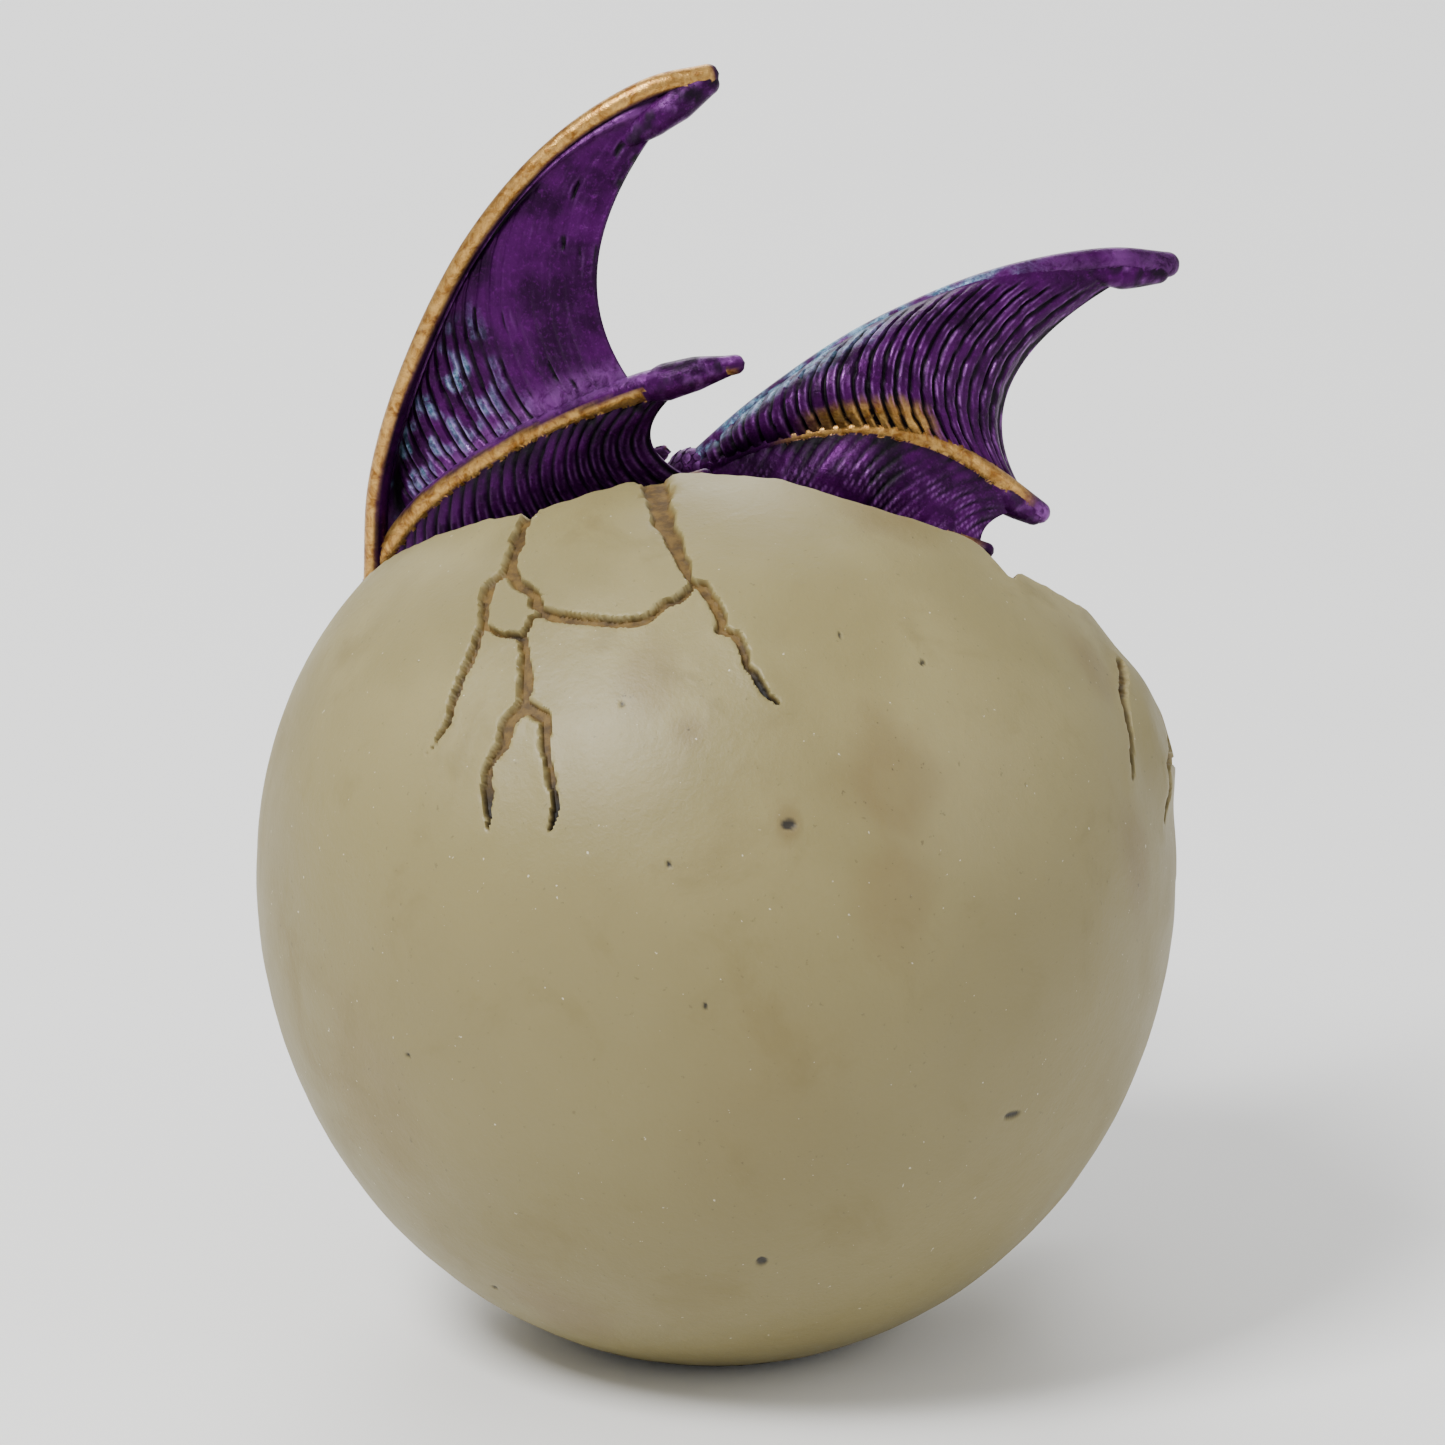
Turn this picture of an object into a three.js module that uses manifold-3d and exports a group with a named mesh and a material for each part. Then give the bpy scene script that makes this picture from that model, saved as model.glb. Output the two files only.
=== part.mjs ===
// Bubbling aquarium ornament: a young dragon breaks out of an egg, and air lifts its head.
// Millimetres, +Z up. The origin is the centre of the foot, and the egg is open towards -Y.

import * as THREE from 'three'
import { mergeVertices } from 'three/addons/utils/BufferGeometryUtils.js'
import Module from 'manifold-3d'

const wasm = await Module()
wasm.setup()

// ---- driving dimensions ----

const gap = 0.3                 // play between neighbouring pieces
const wall = 3.5                // egg wall
const eggRadius = 46.1          // widest radius
const eggMiddle = 47.5          // height of the widest place
const eggUpper = 43.3           // from the widest place to the crown
const eggLower = 49.8           // from the widest place to the point that the flat foot cuts off
const crownExponent = 2.15      // a little blunter than an ellipse above the middle
const eggFoot = 1.0             // height of the shell's flat underside
const eggFloor = 5.0            // top of the shell's floor
const eggSides = 36

const shelfRadius = 31          // inner edge of the ring that the nest's floor stands on
const shelfTop = 44.7
const shelfDepth = 2

const hatchTilt = 45            // the opening's axis leans this far from upright towards -Y
// The broken rim: turn about the opening's axis (0 is -X, 90 is the back) and angle from that axis.
const rim = [
  [0, 69], [10, 70], [17.7, 72.3], [27, 65], [36.6, 66], [44, 65.5], [46.3, 68.7], [49.8, 61.9],
  [62.2, 60.1], [71, 57.5], [80.2, 53.1], [95, 51], [106, 54.5], [117.4, 59.2], [140, 57.5],
  [159.4, 55], [172, 58], [184, 53], [196, 55], [210, 47], [222, 49.5], [236, 41], [246, 44],
  [258, 37], [270, 39.5], [281, 36], [293, 43], [304, 42.5], [316, 49], [327, 52], [338, 61], [350, 62],
]

const boreRadius = 12.8         // hole in the shell's floor
const recessRadius = 14.8       // counterbore that takes the cover's flange
const recessTop = 2.5
const coverTop = 6
const plugRadius = 12
const sealGroove = { radius: 11, low: 3.2, high: 4.8 }
const sealWire = 0.65           // half thickness of the seal
const padHeight = 0.7
const padRadius = 14.2

const inletHeight = 15          // the air path runs straight at this height
const inletTurn = 225           // compass direction of the inlet, counter-clockwise from +X
const bossRadius = 6.2
const bossInner = 26.5
const bossFace = 39.5
const grommetBore = 4.3
const stoneRadius = 6
const stoneHalf = 10
const stemRadius = 2.0          // barb and nipple stems, for 4 mm airline
const airBore = 1.0
const inletTail = 19            // inner end of the inlet's stem
const flangeRadius = 5.0        // the grommet's lip on the boss
const flangeDepth = 1.3
const collarRadius = 4.2        // the collar that stops the inlet on the grommet's lip
const barbSteps = [4.6, 6.8, 9] // each barb's start, out from the boss
const barbRise = 0.7
const barbLength = 1.8

const floorRadius = 34          // the nest's floor, small enough to go in through the opening
const floorTop = 49
const floorThickness = 4
const chest = { centre: [8, -10, 60], semi: [15, 14, 22] }
const chestWall = 2.6
const bellyRadius = 9.6         // hole in the floor that lets the bubbles up into the chest

const headPivot = [15, -34, 74]
const headYaw = 15              // the snout turns towards +X
const headPitch = 12            // and droops a little
const headLift = 22             // travel of the upper head
const knuckleRadius = 6.5
const hingeRadius = 1.0
const hingeHalf = 8.4
const eyeRadius = 1.7

const wingPinHalf = 4
const wingPinRadius = 1.0
const membrane = 1.8            // thickness of the wing skin

// ---- small helpers ----

const radians = THREE.MathUtils.degToRad
const vector = ([x, y, z]) => new THREE.Vector3(x, y, z)

// Any closed geometry as a solid, turned right side out where its mapping has mirrored it.
function toSolid(geometry, matrix) {
  const plain = geometry.clone()
  if (matrix) plain.applyMatrix4(matrix)
  plain.deleteAttribute('normal')
  plain.deleteAttribute('uv')
  const merged = mergeVertices(plain, 1e-4)
  const index = merged.index.array
  const kept = []
  for (let i = 0; i < index.length; i += 3) {
    const [a, b, c] = [index[i], index[i + 1], index[i + 2]]
    if (a !== b && b !== c && c !== a) kept.push(a, b, c)
  }
  const asSolid = (triangles) => new wasm.Manifold(new wasm.Mesh({
    numProp: 3,
    vertProperties: new Float32Array(merged.attributes.position.array),
    triVerts: new Uint32Array(triangles),
  }))
  const solid = asSolid(kept)
  return solid.volume() > 0 ? solid : asSolid(kept.reverse())
}

function toGeometry(solid) {
  const mesh = solid.getMesh()
  const geometry = new THREE.BufferGeometry()
  geometry.setAttribute('position', new THREE.BufferAttribute(new Float32Array(mesh.vertProperties), 3))
  geometry.setIndex(new THREE.BufferAttribute(new Uint32Array(mesh.triVerts), 1))
  geometry.computeVertexNormals()
  return geometry
}

const join = (...solids) => solids.reduce((sum, next) => sum.add(next))
const cut = (solid, ...tools) => tools.reduce((rest, tool) => rest.subtract(tool), solid)

// A turned solid: pairs of radius and height, closed on themselves or on the axis.
const turned = (pairs, sides = eggSides, matrix) => {
  const profile = pairs.map(([radius, height]) => new THREE.Vector2(radius, height))
  const lathe = new THREE.LatheGeometry(profile, sides)
  lathe.rotateX(Math.PI / 2)    // the lathe's Y axis becomes Z
  return toSolid(lathe, matrix)
}

// An ellipsoid, or a ball where semi is a number.
function ellipsoid(centre, semi, across = 20, down = 12) {
  const [a, b, c] = Array.isArray(semi) ? semi : [semi, semi, semi]
  const ball = new THREE.SphereGeometry(1, across, down).rotateX(Math.PI / 2).scale(a, b, c)
  return toSolid(ball, new THREE.Matrix4().makeTranslation(...centre))
}

// A round rod between two points.
function rod(from, to, radius, sides = 16) {
  const [start, end] = [vector(from), vector(to)]
  const along = end.clone().sub(start)
  const bar = new THREE.CylinderGeometry(radius, radius, along.length(), sides)
  const turn = new THREE.Quaternion()
    .setFromUnitVectors(new THREE.Vector3(0, 1, 0), along.clone().normalize())
  const middle = start.add(end).multiplyScalar(0.5)
  return toSolid(bar, new THREE.Matrix4().compose(middle, turn, new THREE.Vector3(1, 1, 1)))
}

const slab = (low, high) => {
  const [from, to] = [vector(low), vector(high)]
  const size = to.clone().sub(from)
  const middle = from.add(to).multiplyScalar(0.5)
  return toSolid(new THREE.BoxGeometry(size.x, size.y, size.z),
    new THREE.Matrix4().makeTranslation(middle.x, middle.y, middle.z))
}

const curveThrough = (points) => new THREE.CatmullRomCurve3(points.map(vector), false, 'centripetal')

// A limb: a round bar bent along a curve, its radius given at even steps from root to tip.
function limb(points, radii, sides, steps) {
  const curve = curveThrough(points)
  const frames = curve.computeFrenetFrames(steps)
  const bar = new THREE.CylinderGeometry(1, 1, 1, sides, steps)
  const place = bar.attributes.position
  for (let i = 0; i < place.count; i++) {
    const t = place.getY(i) + 0.5
    const step = Math.round(t * steps)
    const span = t * (radii.length - 1)
    const first = Math.min(Math.floor(span), radii.length - 2)
    const radius = THREE.MathUtils.lerp(radii[first], radii[first + 1], span - first)
    const point = curve.getPointAt(t)
      .addScaledVector(frames.normals[step], place.getX(i) * radius)
      .addScaledVector(frames.binormals[step], -place.getZ(i) * radius)
    place.setXYZ(i, point.x, point.y, point.z)
  }
  return toSolid(bar)
}

// A skin of even thickness over a surface given as a point for each pair of 0 to 1.
function skin(surface, thickness, across, along) {
  const sheet = new THREE.BoxGeometry(1, 1, 1, across, along, 1)
  const place = sheet.attributes.position
  const nudge = 1e-3
  for (let i = 0; i < place.count; i++) {
    const s = THREE.MathUtils.clamp(place.getX(i) + 0.5, nudge, 1 - nudge)
    const v = THREE.MathUtils.clamp(place.getY(i) + 0.5, nudge, 1 - nudge)
    const down = surface(s + nudge, v).sub(surface(s - nudge, v))
    const out = surface(s, v + nudge).sub(surface(s, v - nudge))
    const normal = down.cross(out).normalize()
    const point = surface(place.getX(i) + 0.5, place.getY(i) + 0.5)
      .addScaledVector(normal, place.getZ(i) * thickness)
    place.setXYZ(i, point.x, point.y, point.z)
  }
  return toSolid(sheet)
}

// A head-like form, flat along the mouth: stations of place, half width, crest and mouth line.
function headForm(stations, shrink = 0, sides = 16) {
  const steps = stations.length - 1
  const form = new THREE.CylinderGeometry(1, 1, 1, sides, steps)
  const place = form.attributes.position
  for (let i = 0; i < place.count; i++) {
    const [y, width, crest, line] = stations[Math.round((place.getY(i) + 0.5) * steps)]
    const [right, up] = [place.getX(i), place.getZ(i)]
    const way = Math.sign(crest - line)
    const rise = Math.max(up, 0) ** 0.8 * (Math.abs(crest - line) - shrink) - 0.2 * Math.max(-up, 0)
    place.setXYZ(i, Math.sign(right) * Math.abs(right) ** 0.85 * (width - shrink), y, line + way * rise)
  }
  return toSolid(form)
}

// ---- the egg ----

function upperCurve(radius, height, count) {
  const power = 2 / crownExponent
  return Array.from({ length: count + 1 }, (_, i) => {
    const angle = (i / count) * Math.PI / 2
    const across = i === count ? 0 : radius * Math.cos(angle) ** power
    return [across, eggMiddle + height * Math.sin(angle) ** power]
  })
}

function lowerCurve(radius, depth, floor, count) {
  const last = Math.asin((eggMiddle - floor) / depth)
  return Array.from({ length: count + 1 }, (_, i) => {
    const angle = last * (1 - i / count)
    return [radius * Math.cos(angle), eggMiddle - depth * Math.sin(angle)]
  })
}

const lowerRadius = (radius, depth, z) => radius * Math.sqrt(1 - ((z - eggMiddle) / depth) ** 2)

function rimDirection(turn, angle) {
  const axis = new THREE.Vector3(0, -Math.sin(radians(hatchTilt)), Math.cos(radians(hatchTilt)))
  const side = new THREE.Vector3(-1, 0, 0)
  const back = new THREE.Vector3(0, Math.cos(radians(hatchTilt)), Math.sin(radians(hatchTilt)))
  return axis.multiplyScalar(Math.cos(radians(angle)))
    .addScaledVector(side, Math.sin(radians(angle)) * Math.cos(radians(turn)))
    .addScaledVector(back, Math.sin(radians(angle)) * Math.sin(radians(turn)))
}

// The broken opening, as a many-sided cone from the egg's middle.
function hatch(grow) {
  const steepest = 36           // smallest angle in the rim's table
  const reach = 90
  const apex = new THREE.Vector3(0, 0, eggMiddle)
    .addScaledVector(rimDirection(0, 0), grow / Math.sin(radians(steepest)))
  const ring = rim.map(([turn, angle]) => apex.clone().addScaledVector(rimDirection(turn, angle), reach))
  const far = apex.clone().addScaledVector(rimDirection(0, 0), reach)
  const corners = [apex, far, ...ring]
  const faces = []
  for (let i = 0; i < ring.length; i++) {
    const [here, next] = [2 + i, 2 + (i + 1) % ring.length]
    faces.push(0, here, next, 1, next, here)
  }
  const cone = new THREE.BufferGeometry().setFromPoints(corners)
  cone.setIndex(faces)
  return toSolid(cone)
}

// The inlet's own frame: local X runs outwards along the air path.
const inletFrame = new THREE.Matrix4().makeRotationZ(radians(inletTurn))
  .setPosition(0, 0, inletHeight)
const airPoint = (u, side = 0, up = 0) => new THREE.Vector3(u, side, up).applyMatrix4(inletFrame).toArray()
const airRod = (from, to, radius, sides) => rod(airPoint(from), airPoint(to), radius, sides)

function eggShell(grow = 0) {
  const inner = eggRadius - wall - grow
  const innerDepth = eggLower - wall - grow
  const profile = [
    [recessRadius - grow, eggFoot - grow],
    ...lowerCurve(eggRadius + grow, eggLower + grow, eggFoot - grow, 8),
    ...upperCurve(eggRadius + grow, eggUpper + grow, 9).slice(1),
    ...upperCurve(inner, eggUpper - wall - grow, 7).reverse(),
    ...lowerCurve(inner, innerDepth, eggFloor + grow, 8).reverse().slice(1),
    [boreRadius - grow, eggFloor + grow],
    [boreRadius - grow, recessTop - grow],
    [recessRadius - grow, recessTop - grow],
    [recessRadius - grow, eggFoot - grow],
  ]
  const boss = airRod(bossInner, bossFace, bossRadius + grow, 20)
  return cut(join(turned(profile), boss), hatch(grow), airRod(bossInner - 8, bossFace + 6, grommetBore, 16))
}

// The ring bonded to the wall inside, which carries the nest's floor.
function shelfRing() {
  const edge = (z) => [lowerRadius(eggRadius - wall, eggLower - wall, z) - gap, z]
  return turned([
    [shelfRadius, shelfTop - shelfDepth], edge(shelfTop - shelfDepth), edge(shelfTop),
    [shelfRadius, shelfTop], [shelfRadius, shelfTop - shelfDepth],
  ])
}

// ---- the dragon ----

const headFrame = new THREE.Matrix4().makeRotationZ(radians(headYaw))
  .multiply(new THREE.Matrix4().makeRotationX(radians(headPitch)))
  .setPosition(...headPivot)
const headPoint = (x, y, z) => new THREE.Vector3(x, y, z).applyMatrix4(headFrame).toArray()
const placed = (solid) => toSolid(toGeometry(solid), headFrame)
const unplaced = (solid) => toSolid(toGeometry(solid), headFrame.clone().invert())

// Where a line from the chest's centre towards a point leaves the chest.
function chestSeat(toward) {
  const centre = vector(chest.centre)
  const along = vector(toward).sub(centre).normalize()
  const [a, b, c] = chest.semi
  const reach = 1 / Math.hypot(along.x / a, along.y / b, along.z / c)
  return { at: centre.addScaledVector(along, reach), along }
}

const neckPath = [[9, -16, 66], [12, -26, 72], headPivot]

const neck = (grow) => join(
  limb(neckPath, [9 + grow, 7.6 + grow, 6.2 + grow], 14, 5),
  ellipsoid(headPivot, knuckleRadius + grow, 16, 10),
)

const chestAndNeck = (grow) =>
  join(neck(grow), ellipsoid(chest.centre, chest.semi.map((semi) => semi + grow), 20, 14))

const floorPlate = (grow) => rod([0, 0, floorTop - floorThickness - grow], [0, 0, floorTop + grow],
  floorRadius + grow, eggSides)

// The plate that stands on the shelf ring and carries the dragon.
function nestFloor() {
  const [x, y] = chest.centre
  return cut(floorPlate(0), rod([x, y, floorTop - 8], [x, y, floorTop + 3], bellyRadius, 24))
}

function torso() {
  const belowFloor = slab([-60, -60, 20], [60, 60, floorTop + gap])
  let hollow = ellipsoid(chest.centre, chest.semi.map((semi) => semi - chestWall), 14, 10)
  const sockets = wings.map(({ wrist }) => chestSeat(wrist))
  for (const { at } of sockets) hollow = cut(hollow, ellipsoid(at.toArray(), 5.5, 10, 6))
  const duct = limb([[9, -18, 70], headPoint(0, 7, 2.6), headPoint(0, 0, 3.7), headPoint(0, -8, 4.4)],
    [1.8, 1.8], 8, 8)
  const hingeHole = rod(headPoint(-12, 0, 0), headPoint(12, 0, 0), hingeRadius + gap, 16)
  const pinHoles = wings.map((wing) => wingPin(wing, gap))
  return cut(chestAndNeck(0), belowFloor, hollow, duct, hingeHole, ...pinHoles)
}

// Each wing: its wrist, three fingers from wrist to tip, and how its two skins hang between them.
const wings = [
  {
    name: 'wing_left',
    wrist: [33.6, -14, 72.6],
    lead: [[34.4, -14, 73.8], [33.8, -12, 85.1], [30.1, -9, 98.4], [23.8, -7, 111.5], [15.6, -6, 121.3],
      [6.6, -6, 127], [0.8, -7, 128.1]],
    middle: [[33.6, -14, 76.2], [28.6, -10, 83.5], [19.6, -5, 91.2], [10.6, -1, 96.6], [2.6, 1, 99.8],
      [-1.9, 1, 100.7]],
    inner: [[34, -14, 71.4], [26.6, -10, 76.4], [15.6, -6, 81.7], [6.6, -4, 86], [1.1, -3, 88.1]],
    reach: [0.99, 0.78, 0.94, 0.97],
    scallop: [[6.8, 0, -1.2], [5, 0, -0.5]],
    sag: [[0, -3.2, 0], [0, 1.5, 0]],
  },
  {
    name: 'wing_right',
    wrist: [2.5, -12, 86],
    lead: [[2.6, -12, 86.4], [-4.4, -12, 92.9], [-15.4, -13, 100.4], [-28.4, -15, 105.5],
      [-39.4, -18, 106.6], [-45.4, -20, 105.5]],
    middle: [[1.6, -11, 86.5], [-6.4, -8, 90.4], [-14.4, -6, 92.1], [-21.9, -6, 90.5], [-27.4, -7, 87.1],
      [-32.4, -9, 82.7]],
    inner: [[1.6, -11, 84.5], [-6.4, -6, 83], [-14.4, -4, 83.6], [-21.4, -2, 82.6], [-26.9, 0, 81.3]],
    reach: [0.97, 0.97, 0.97, 0.98],
    scallop: [[8, 0, 0.6], [1.5, 0, 0.6]],
    sag: [[0, 3.6, 1.2], [0, 1.8, 0]],
  },
]

// One skin between two fingers: it hangs in a scallop along the outer edge and sags between them.
const wingSkin = (upper, lower, [upperReach, lowerReach], scallop, sag) => (s, v) => {
  const arch = 4 * s * (1 - s)
  return upper.getPointAt(v * upperReach).lerp(lower.getPointAt(v * lowerReach), s)
    .addScaledVector(vector(scallop), arch * v ** 1.3)
    .addScaledVector(vector(sag), arch * Math.sin(Math.PI * v) ** 0.7)
}

function wingPin({ wrist }, grow = 0) {
  const { at, along } = chestSeat(wrist)
  const from = at.clone().addScaledVector(along, -wingPinHalf - grow)
  const to = at.clone().addScaledVector(along, wingPinHalf + grow)
  return rod(from.toArray(), to.toArray(), wingPinRadius + grow, 12)
}

function wing(shape, neighbours) {
  const [lead, middle, inner] = [shape.lead, shape.middle, shape.inner].map(curveThrough)
  const [reachA, reachB, reachC, reachD] = shape.reach
  const outerSkin = wingSkin(lead, middle, [reachA, reachB], shape.scallop[0], shape.sag[0])
  const innerSkin = wingSkin(middle, inner, [reachC, reachD], shape.scallop[1], shape.sag[1])
  const { at } = chestSeat(shape.wrist)
  const solid = join(
    skin(outerSkin, membrane, 6, 10),
    skin(innerSkin, membrane, 4, 8),
    limb(shape.lead, [1.9, 1.5, 1.3, 1.1], 7, 12),
    limb(shape.middle, [1.9, 1.6, 1.4, 1.2], 7, 10),
    limb(shape.inner, [1.7, 1.3, 1.1], 6, 6),
    ellipsoid(shape.wrist, 3, 10, 6),
    ellipsoid(shape.lead.at(-1), 1.25, 8, 5),
    ellipsoid(shape.middle.at(-1), 1.35, 8, 5),
    rod(at.toArray(), shape.wrist, 2.7, 10),
  )
  return cut(solid, ...neighbours, wingPin(shape, gap))
}

const forelegs = {
  foreleg_left: {
    path: [[19, -17, 58], [30, -21, 57], [32, -28, 59], [31.5, -33, 58.5]],
    paw: [31.5, -33.6, 56],
  },
  foreleg_right: {
    path: [[-3, -15, 57], [-9, -26, 56], [-4, -37, 58], [-2, -43, 57.5]],
    paw: [-1.8, -44.6, 54.4],
  },
}

const legRadii = [5.2, 4.6, 3.8, 3.4]
const pawSemi = [5, 5.6, 4.6]

const foreleg = ({ path, paw }, neighbours) =>
  cut(join(limb(path, legRadii, 9, 8), ellipsoid(paw, pawSemi, 14, 8)), ...neighbours)

const tailPath = [[-2, -2, 55], [-15, 8, 53.6], [-28, 4, 53.4], [-33.5, -12, 54], [-29.5, -27, 56],
  [-26, -36.5, 57.6], [-28.5, -40.6, 50], [-33, -36.2, 43.6], [-37.2, -30, 41]]
const tailRadii = [6, 5.6, 5, 4.4, 3.6, 3, 2.4, 1.8, 0.8]

const tail = (neighbours) => cut(limb(tailPath, tailRadii, 9, 28), ...neighbours)

// ---- the head, drawn about its own hinge: -Y is forwards, and the mouth line is at the bottom ----

const skullStations = [
  [3.2, 5.6, 6.4, 0], [0, 8.8, 9.4, -3.2], [-5, 9.6, 11, -3.4], [-10, 8.8, 10.4, -3.2],
  [-14, 6.8, 7, -3], [-19, 5.6, 4.6, -3], [-24, 4.8, 3.8, -3.2], [-27, 3, 2.2, -3],
]
const palateStations = [[-3, 9, 9.6, -5], [-10, 8.2, 9, -5], [-14, 6.4, 5.8, -5], [-22, 5, 3, -5]]
const jawStations = [
  [-4.5, 7, -9, -4], [-10, 6.4, -8.8, -3.9], [-17, 5.2, -8, -3.7], [-23, 4.2, -7.6, -3.9],
  [-25.6, 2.4, -6.4, -3.8],
]
const hornPath = [[4.4, -3, 8.2], [5.2, 3, 11.6], [4.6, 10, 14]]
const eyeCentre = [7.3, -10.4, 4.8]

const mirrored = ([x, y, z]) => [-x, y, z]

function upperHead() {
  const stillNeck = unplaced(neck(gap))
  const turnedNecks = [0, headLift / 2, headLift + 2].map((angle) =>
    toSolid(toGeometry(stillNeck), new THREE.Matrix4().makeRotationX(radians(angle))))
  const horns = [hornPath, hornPath.map(mirrored)].map((path) => limb(path, [2.2, 1.5, 0.5], 7, 5))
  const sockets = [eyeCentre, mirrored(eyeCentre)]
    .map((centre) => ellipsoid(centre, eyeRadius + gap, 10, 6))
  const mouthHollow = headForm(palateStations, 1.7)
  const knuckle = ellipsoid([0, 0, 0], knuckleRadius + 2 * gap, 16, 10)
  const hingeHole = rod([-12, 0, 0], [12, 0, 0], hingeRadius + gap, 16)
  const solid = cut(join(headForm(skullStations), ...horns), mouthHollow, knuckle, hingeHole,
    ...sockets, ...turnedNecks)
  const parts = solid.decompose()
  return placed(parts.sort((one, other) => other.volume() - one.volume())[0])
}

function lowerJaw() {
  const seat = ellipsoid([0, 0, 0], knuckleRadius + gap, 16, 10)
  const tongueGroove = headForm([[-9, 3.6, -6.4, -3], [-20, 2.4, -6, -3]], 0, 10)
  return cut(placed(cut(headForm(jawStations), seat, tongueGroove)), chestAndNeck(gap))
}

const eye = (side) => placed(ellipsoid([eyeCentre[0] * side, eyeCentre[1], eyeCentre[2]], eyeRadius, 10, 8))
const hingePin = () => rod(headPoint(-hingeHalf, 0, 0), headPoint(hingeHalf, 0, 0), hingeRadius, 12)

// ---- the air path and the foot ----

// Turned about the air path: pairs of radius and distance out along it.
function turnedOnAir(pairs, sides = 14) {
  const aim = inletFrame.clone().multiply(new THREE.Matrix4().makeRotationY(Math.PI / 2))
  return turned(pairs, sides, aim)
}

// A turned sleeve: its outside as pairs, closed along a bore of one radius.
const sleeve = (inner, pairs) =>
  [[inner, pairs[0][1]], ...pairs, [inner, pairs.at(-1)[1]], [inner, pairs[0][1]]]

const inletGrommet = () => turnedOnAir(sleeve(stemRadius + gap, [
  [grommetBore - gap, bossInner], [grommetBore - gap, bossFace + gap],
  [flangeRadius, bossFace + gap], [flangeRadius, bossFace + gap + flangeDepth],
]))

function airInlet() {
  const collar = bossFace + gap + flangeDepth + gap
  const barbs = barbSteps.map((step) => bossFace + step).flatMap((start) => [
    [stemRadius, start], [stemRadius + barbRise, start], [stemRadius, start + barbLength]])
  return turnedOnAir(sleeve(airBore, [
    [stemRadius, inletTail], [stemRadius, collar], [collarRadius, collar], [collarRadius, collar + 1.5],
    [stemRadius, collar + 1.5], ...barbs,
  ]))
}

const airTube = () => turnedOnAir(sleeve(stemRadius + gap, [
  [3.3, stoneHalf + 1.9], [3.3, bossInner - 0.9],
]))

const stoneNipple = () => turnedOnAir(sleeve(airBore, [
  [stemRadius, 4.6], [stemRadius, stoneHalf + gap], [3.2, stoneHalf + gap], [3.2, stoneHalf + 1.6],
  [stemRadius, stoneHalf + 1.6], [stemRadius, stoneHalf + 7],
]))

const airStone = () => turnedOnAir([
  [0, -stoneHalf], [stoneRadius - 1, -stoneHalf], [stoneRadius, 1 - stoneHalf],
  [stoneRadius, stoneHalf - 1], [stoneRadius - 1, stoneHalf],
  [stemRadius + gap, stoneHalf], [stemRadius + gap, 4.3], [0, 4.3],
], 20)

function baseCover() {
  const { radius, low, high } = sealGroove
  const plug = turned([
    [0, eggFoot], [recessRadius - gap, eggFoot], [recessRadius - gap, recessTop - gap],
    [plugRadius, recessTop - gap], [plugRadius, low], [radius, low], [radius, high], [plugRadius, high],
    [plugRadius, coverTop], [0, coverTop],
  ])
  const saddles = [-6, 6].map((u) => {
    const rib = new THREE.BoxGeometry(1.8, 15, 7).translate(u, 0, coverTop + 3.4 - inletHeight)
    return toSolid(rib, inletFrame)
  })
  return cut(join(plug, ...saddles), airRod(-12, 12, stoneRadius + gap, 20))
}

function coverSeal() {
  const { radius, low, high } = sealGroove
  const ring = new THREE.TorusGeometry(radius + gap + sealWire, sealWire, 6, 28)
  return toSolid(ring.translate(0, 0, (low + high) / 2))
}

const basePad = () => rod([0, 0, 0], [0, 0, padHeight], padRadius, eggSides)

// ---- assembly ----

const finishes = {
  shell: { color: 0xada484, roughness: 0.55, metalness: 0 },
  nest: { color: 0x6a5a44, roughness: 0.7, metalness: 0 },
  scales: { color: 0x5a2468, roughness: 0.35, metalness: 0.5 },
  pearl: { color: 0x712b7d, roughness: 0.3, metalness: 0.6 },
  eyes: { color: 0xd9a326, roughness: 0.08, metalness: 0 },
  steel: { color: 0xb8bcc0, roughness: 0.3, metalness: 1 },
  silicone: { color: 0x2b2b2d, roughness: 0.7, metalness: 0 },
  clearHose: { color: 0xc9d3d6, roughness: 0.3, metalness: 0 },
  plastic: { color: 0x3a4a50, roughness: 0.45, metalness: 0 },
  stone: { color: 0x6f7fa0, roughness: 0.95, metalness: 0 },
}

const keepOut = [eggShell(gap), chestAndNeck(gap), floorPlate(gap)]

const pieces = [
  ['egg_shell', eggShell(), 'shell'],
  ['shelf_ring', shelfRing(), 'shell'],
  ['nest_floor', nestFloor(), 'nest'],
  ['torso', torso(), 'scales'],
  ...wings.map((shape) => [shape.name, wing(shape, keepOut), 'pearl']),
  ['wing_pin_left', wingPin(wings[0]), 'steel'],
  ['wing_pin_right', wingPin(wings[1]), 'steel'],
  ...Object.entries(forelegs).map(([name, shape]) => [name, foreleg(shape, keepOut), 'scales']),
  ['tail', tail(keepOut), 'scales'],
  ['lower_jaw', lowerJaw(), 'scales'],
  ['upper_head', upperHead(), 'scales'],
  ['eye_left', eye(1), 'eyes'],
  ['eye_right', eye(-1), 'eyes'],
  ['head_hinge_pin', hingePin(), 'steel'],
  ['inlet_grommet', inletGrommet(), 'silicone'],
  ['air_inlet', airInlet(), 'plastic'],
  ['air_tube', airTube(), 'clearHose'],
  ['stone_nipple', stoneNipple(), 'plastic'],
  ['air_stone', airStone(), 'stone'],
  ['base_cover', baseCover(), 'plastic'],
  ['cover_seal', coverSeal(), 'silicone'],
  ['base_pad', basePad(), 'silicone'],
]

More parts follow.
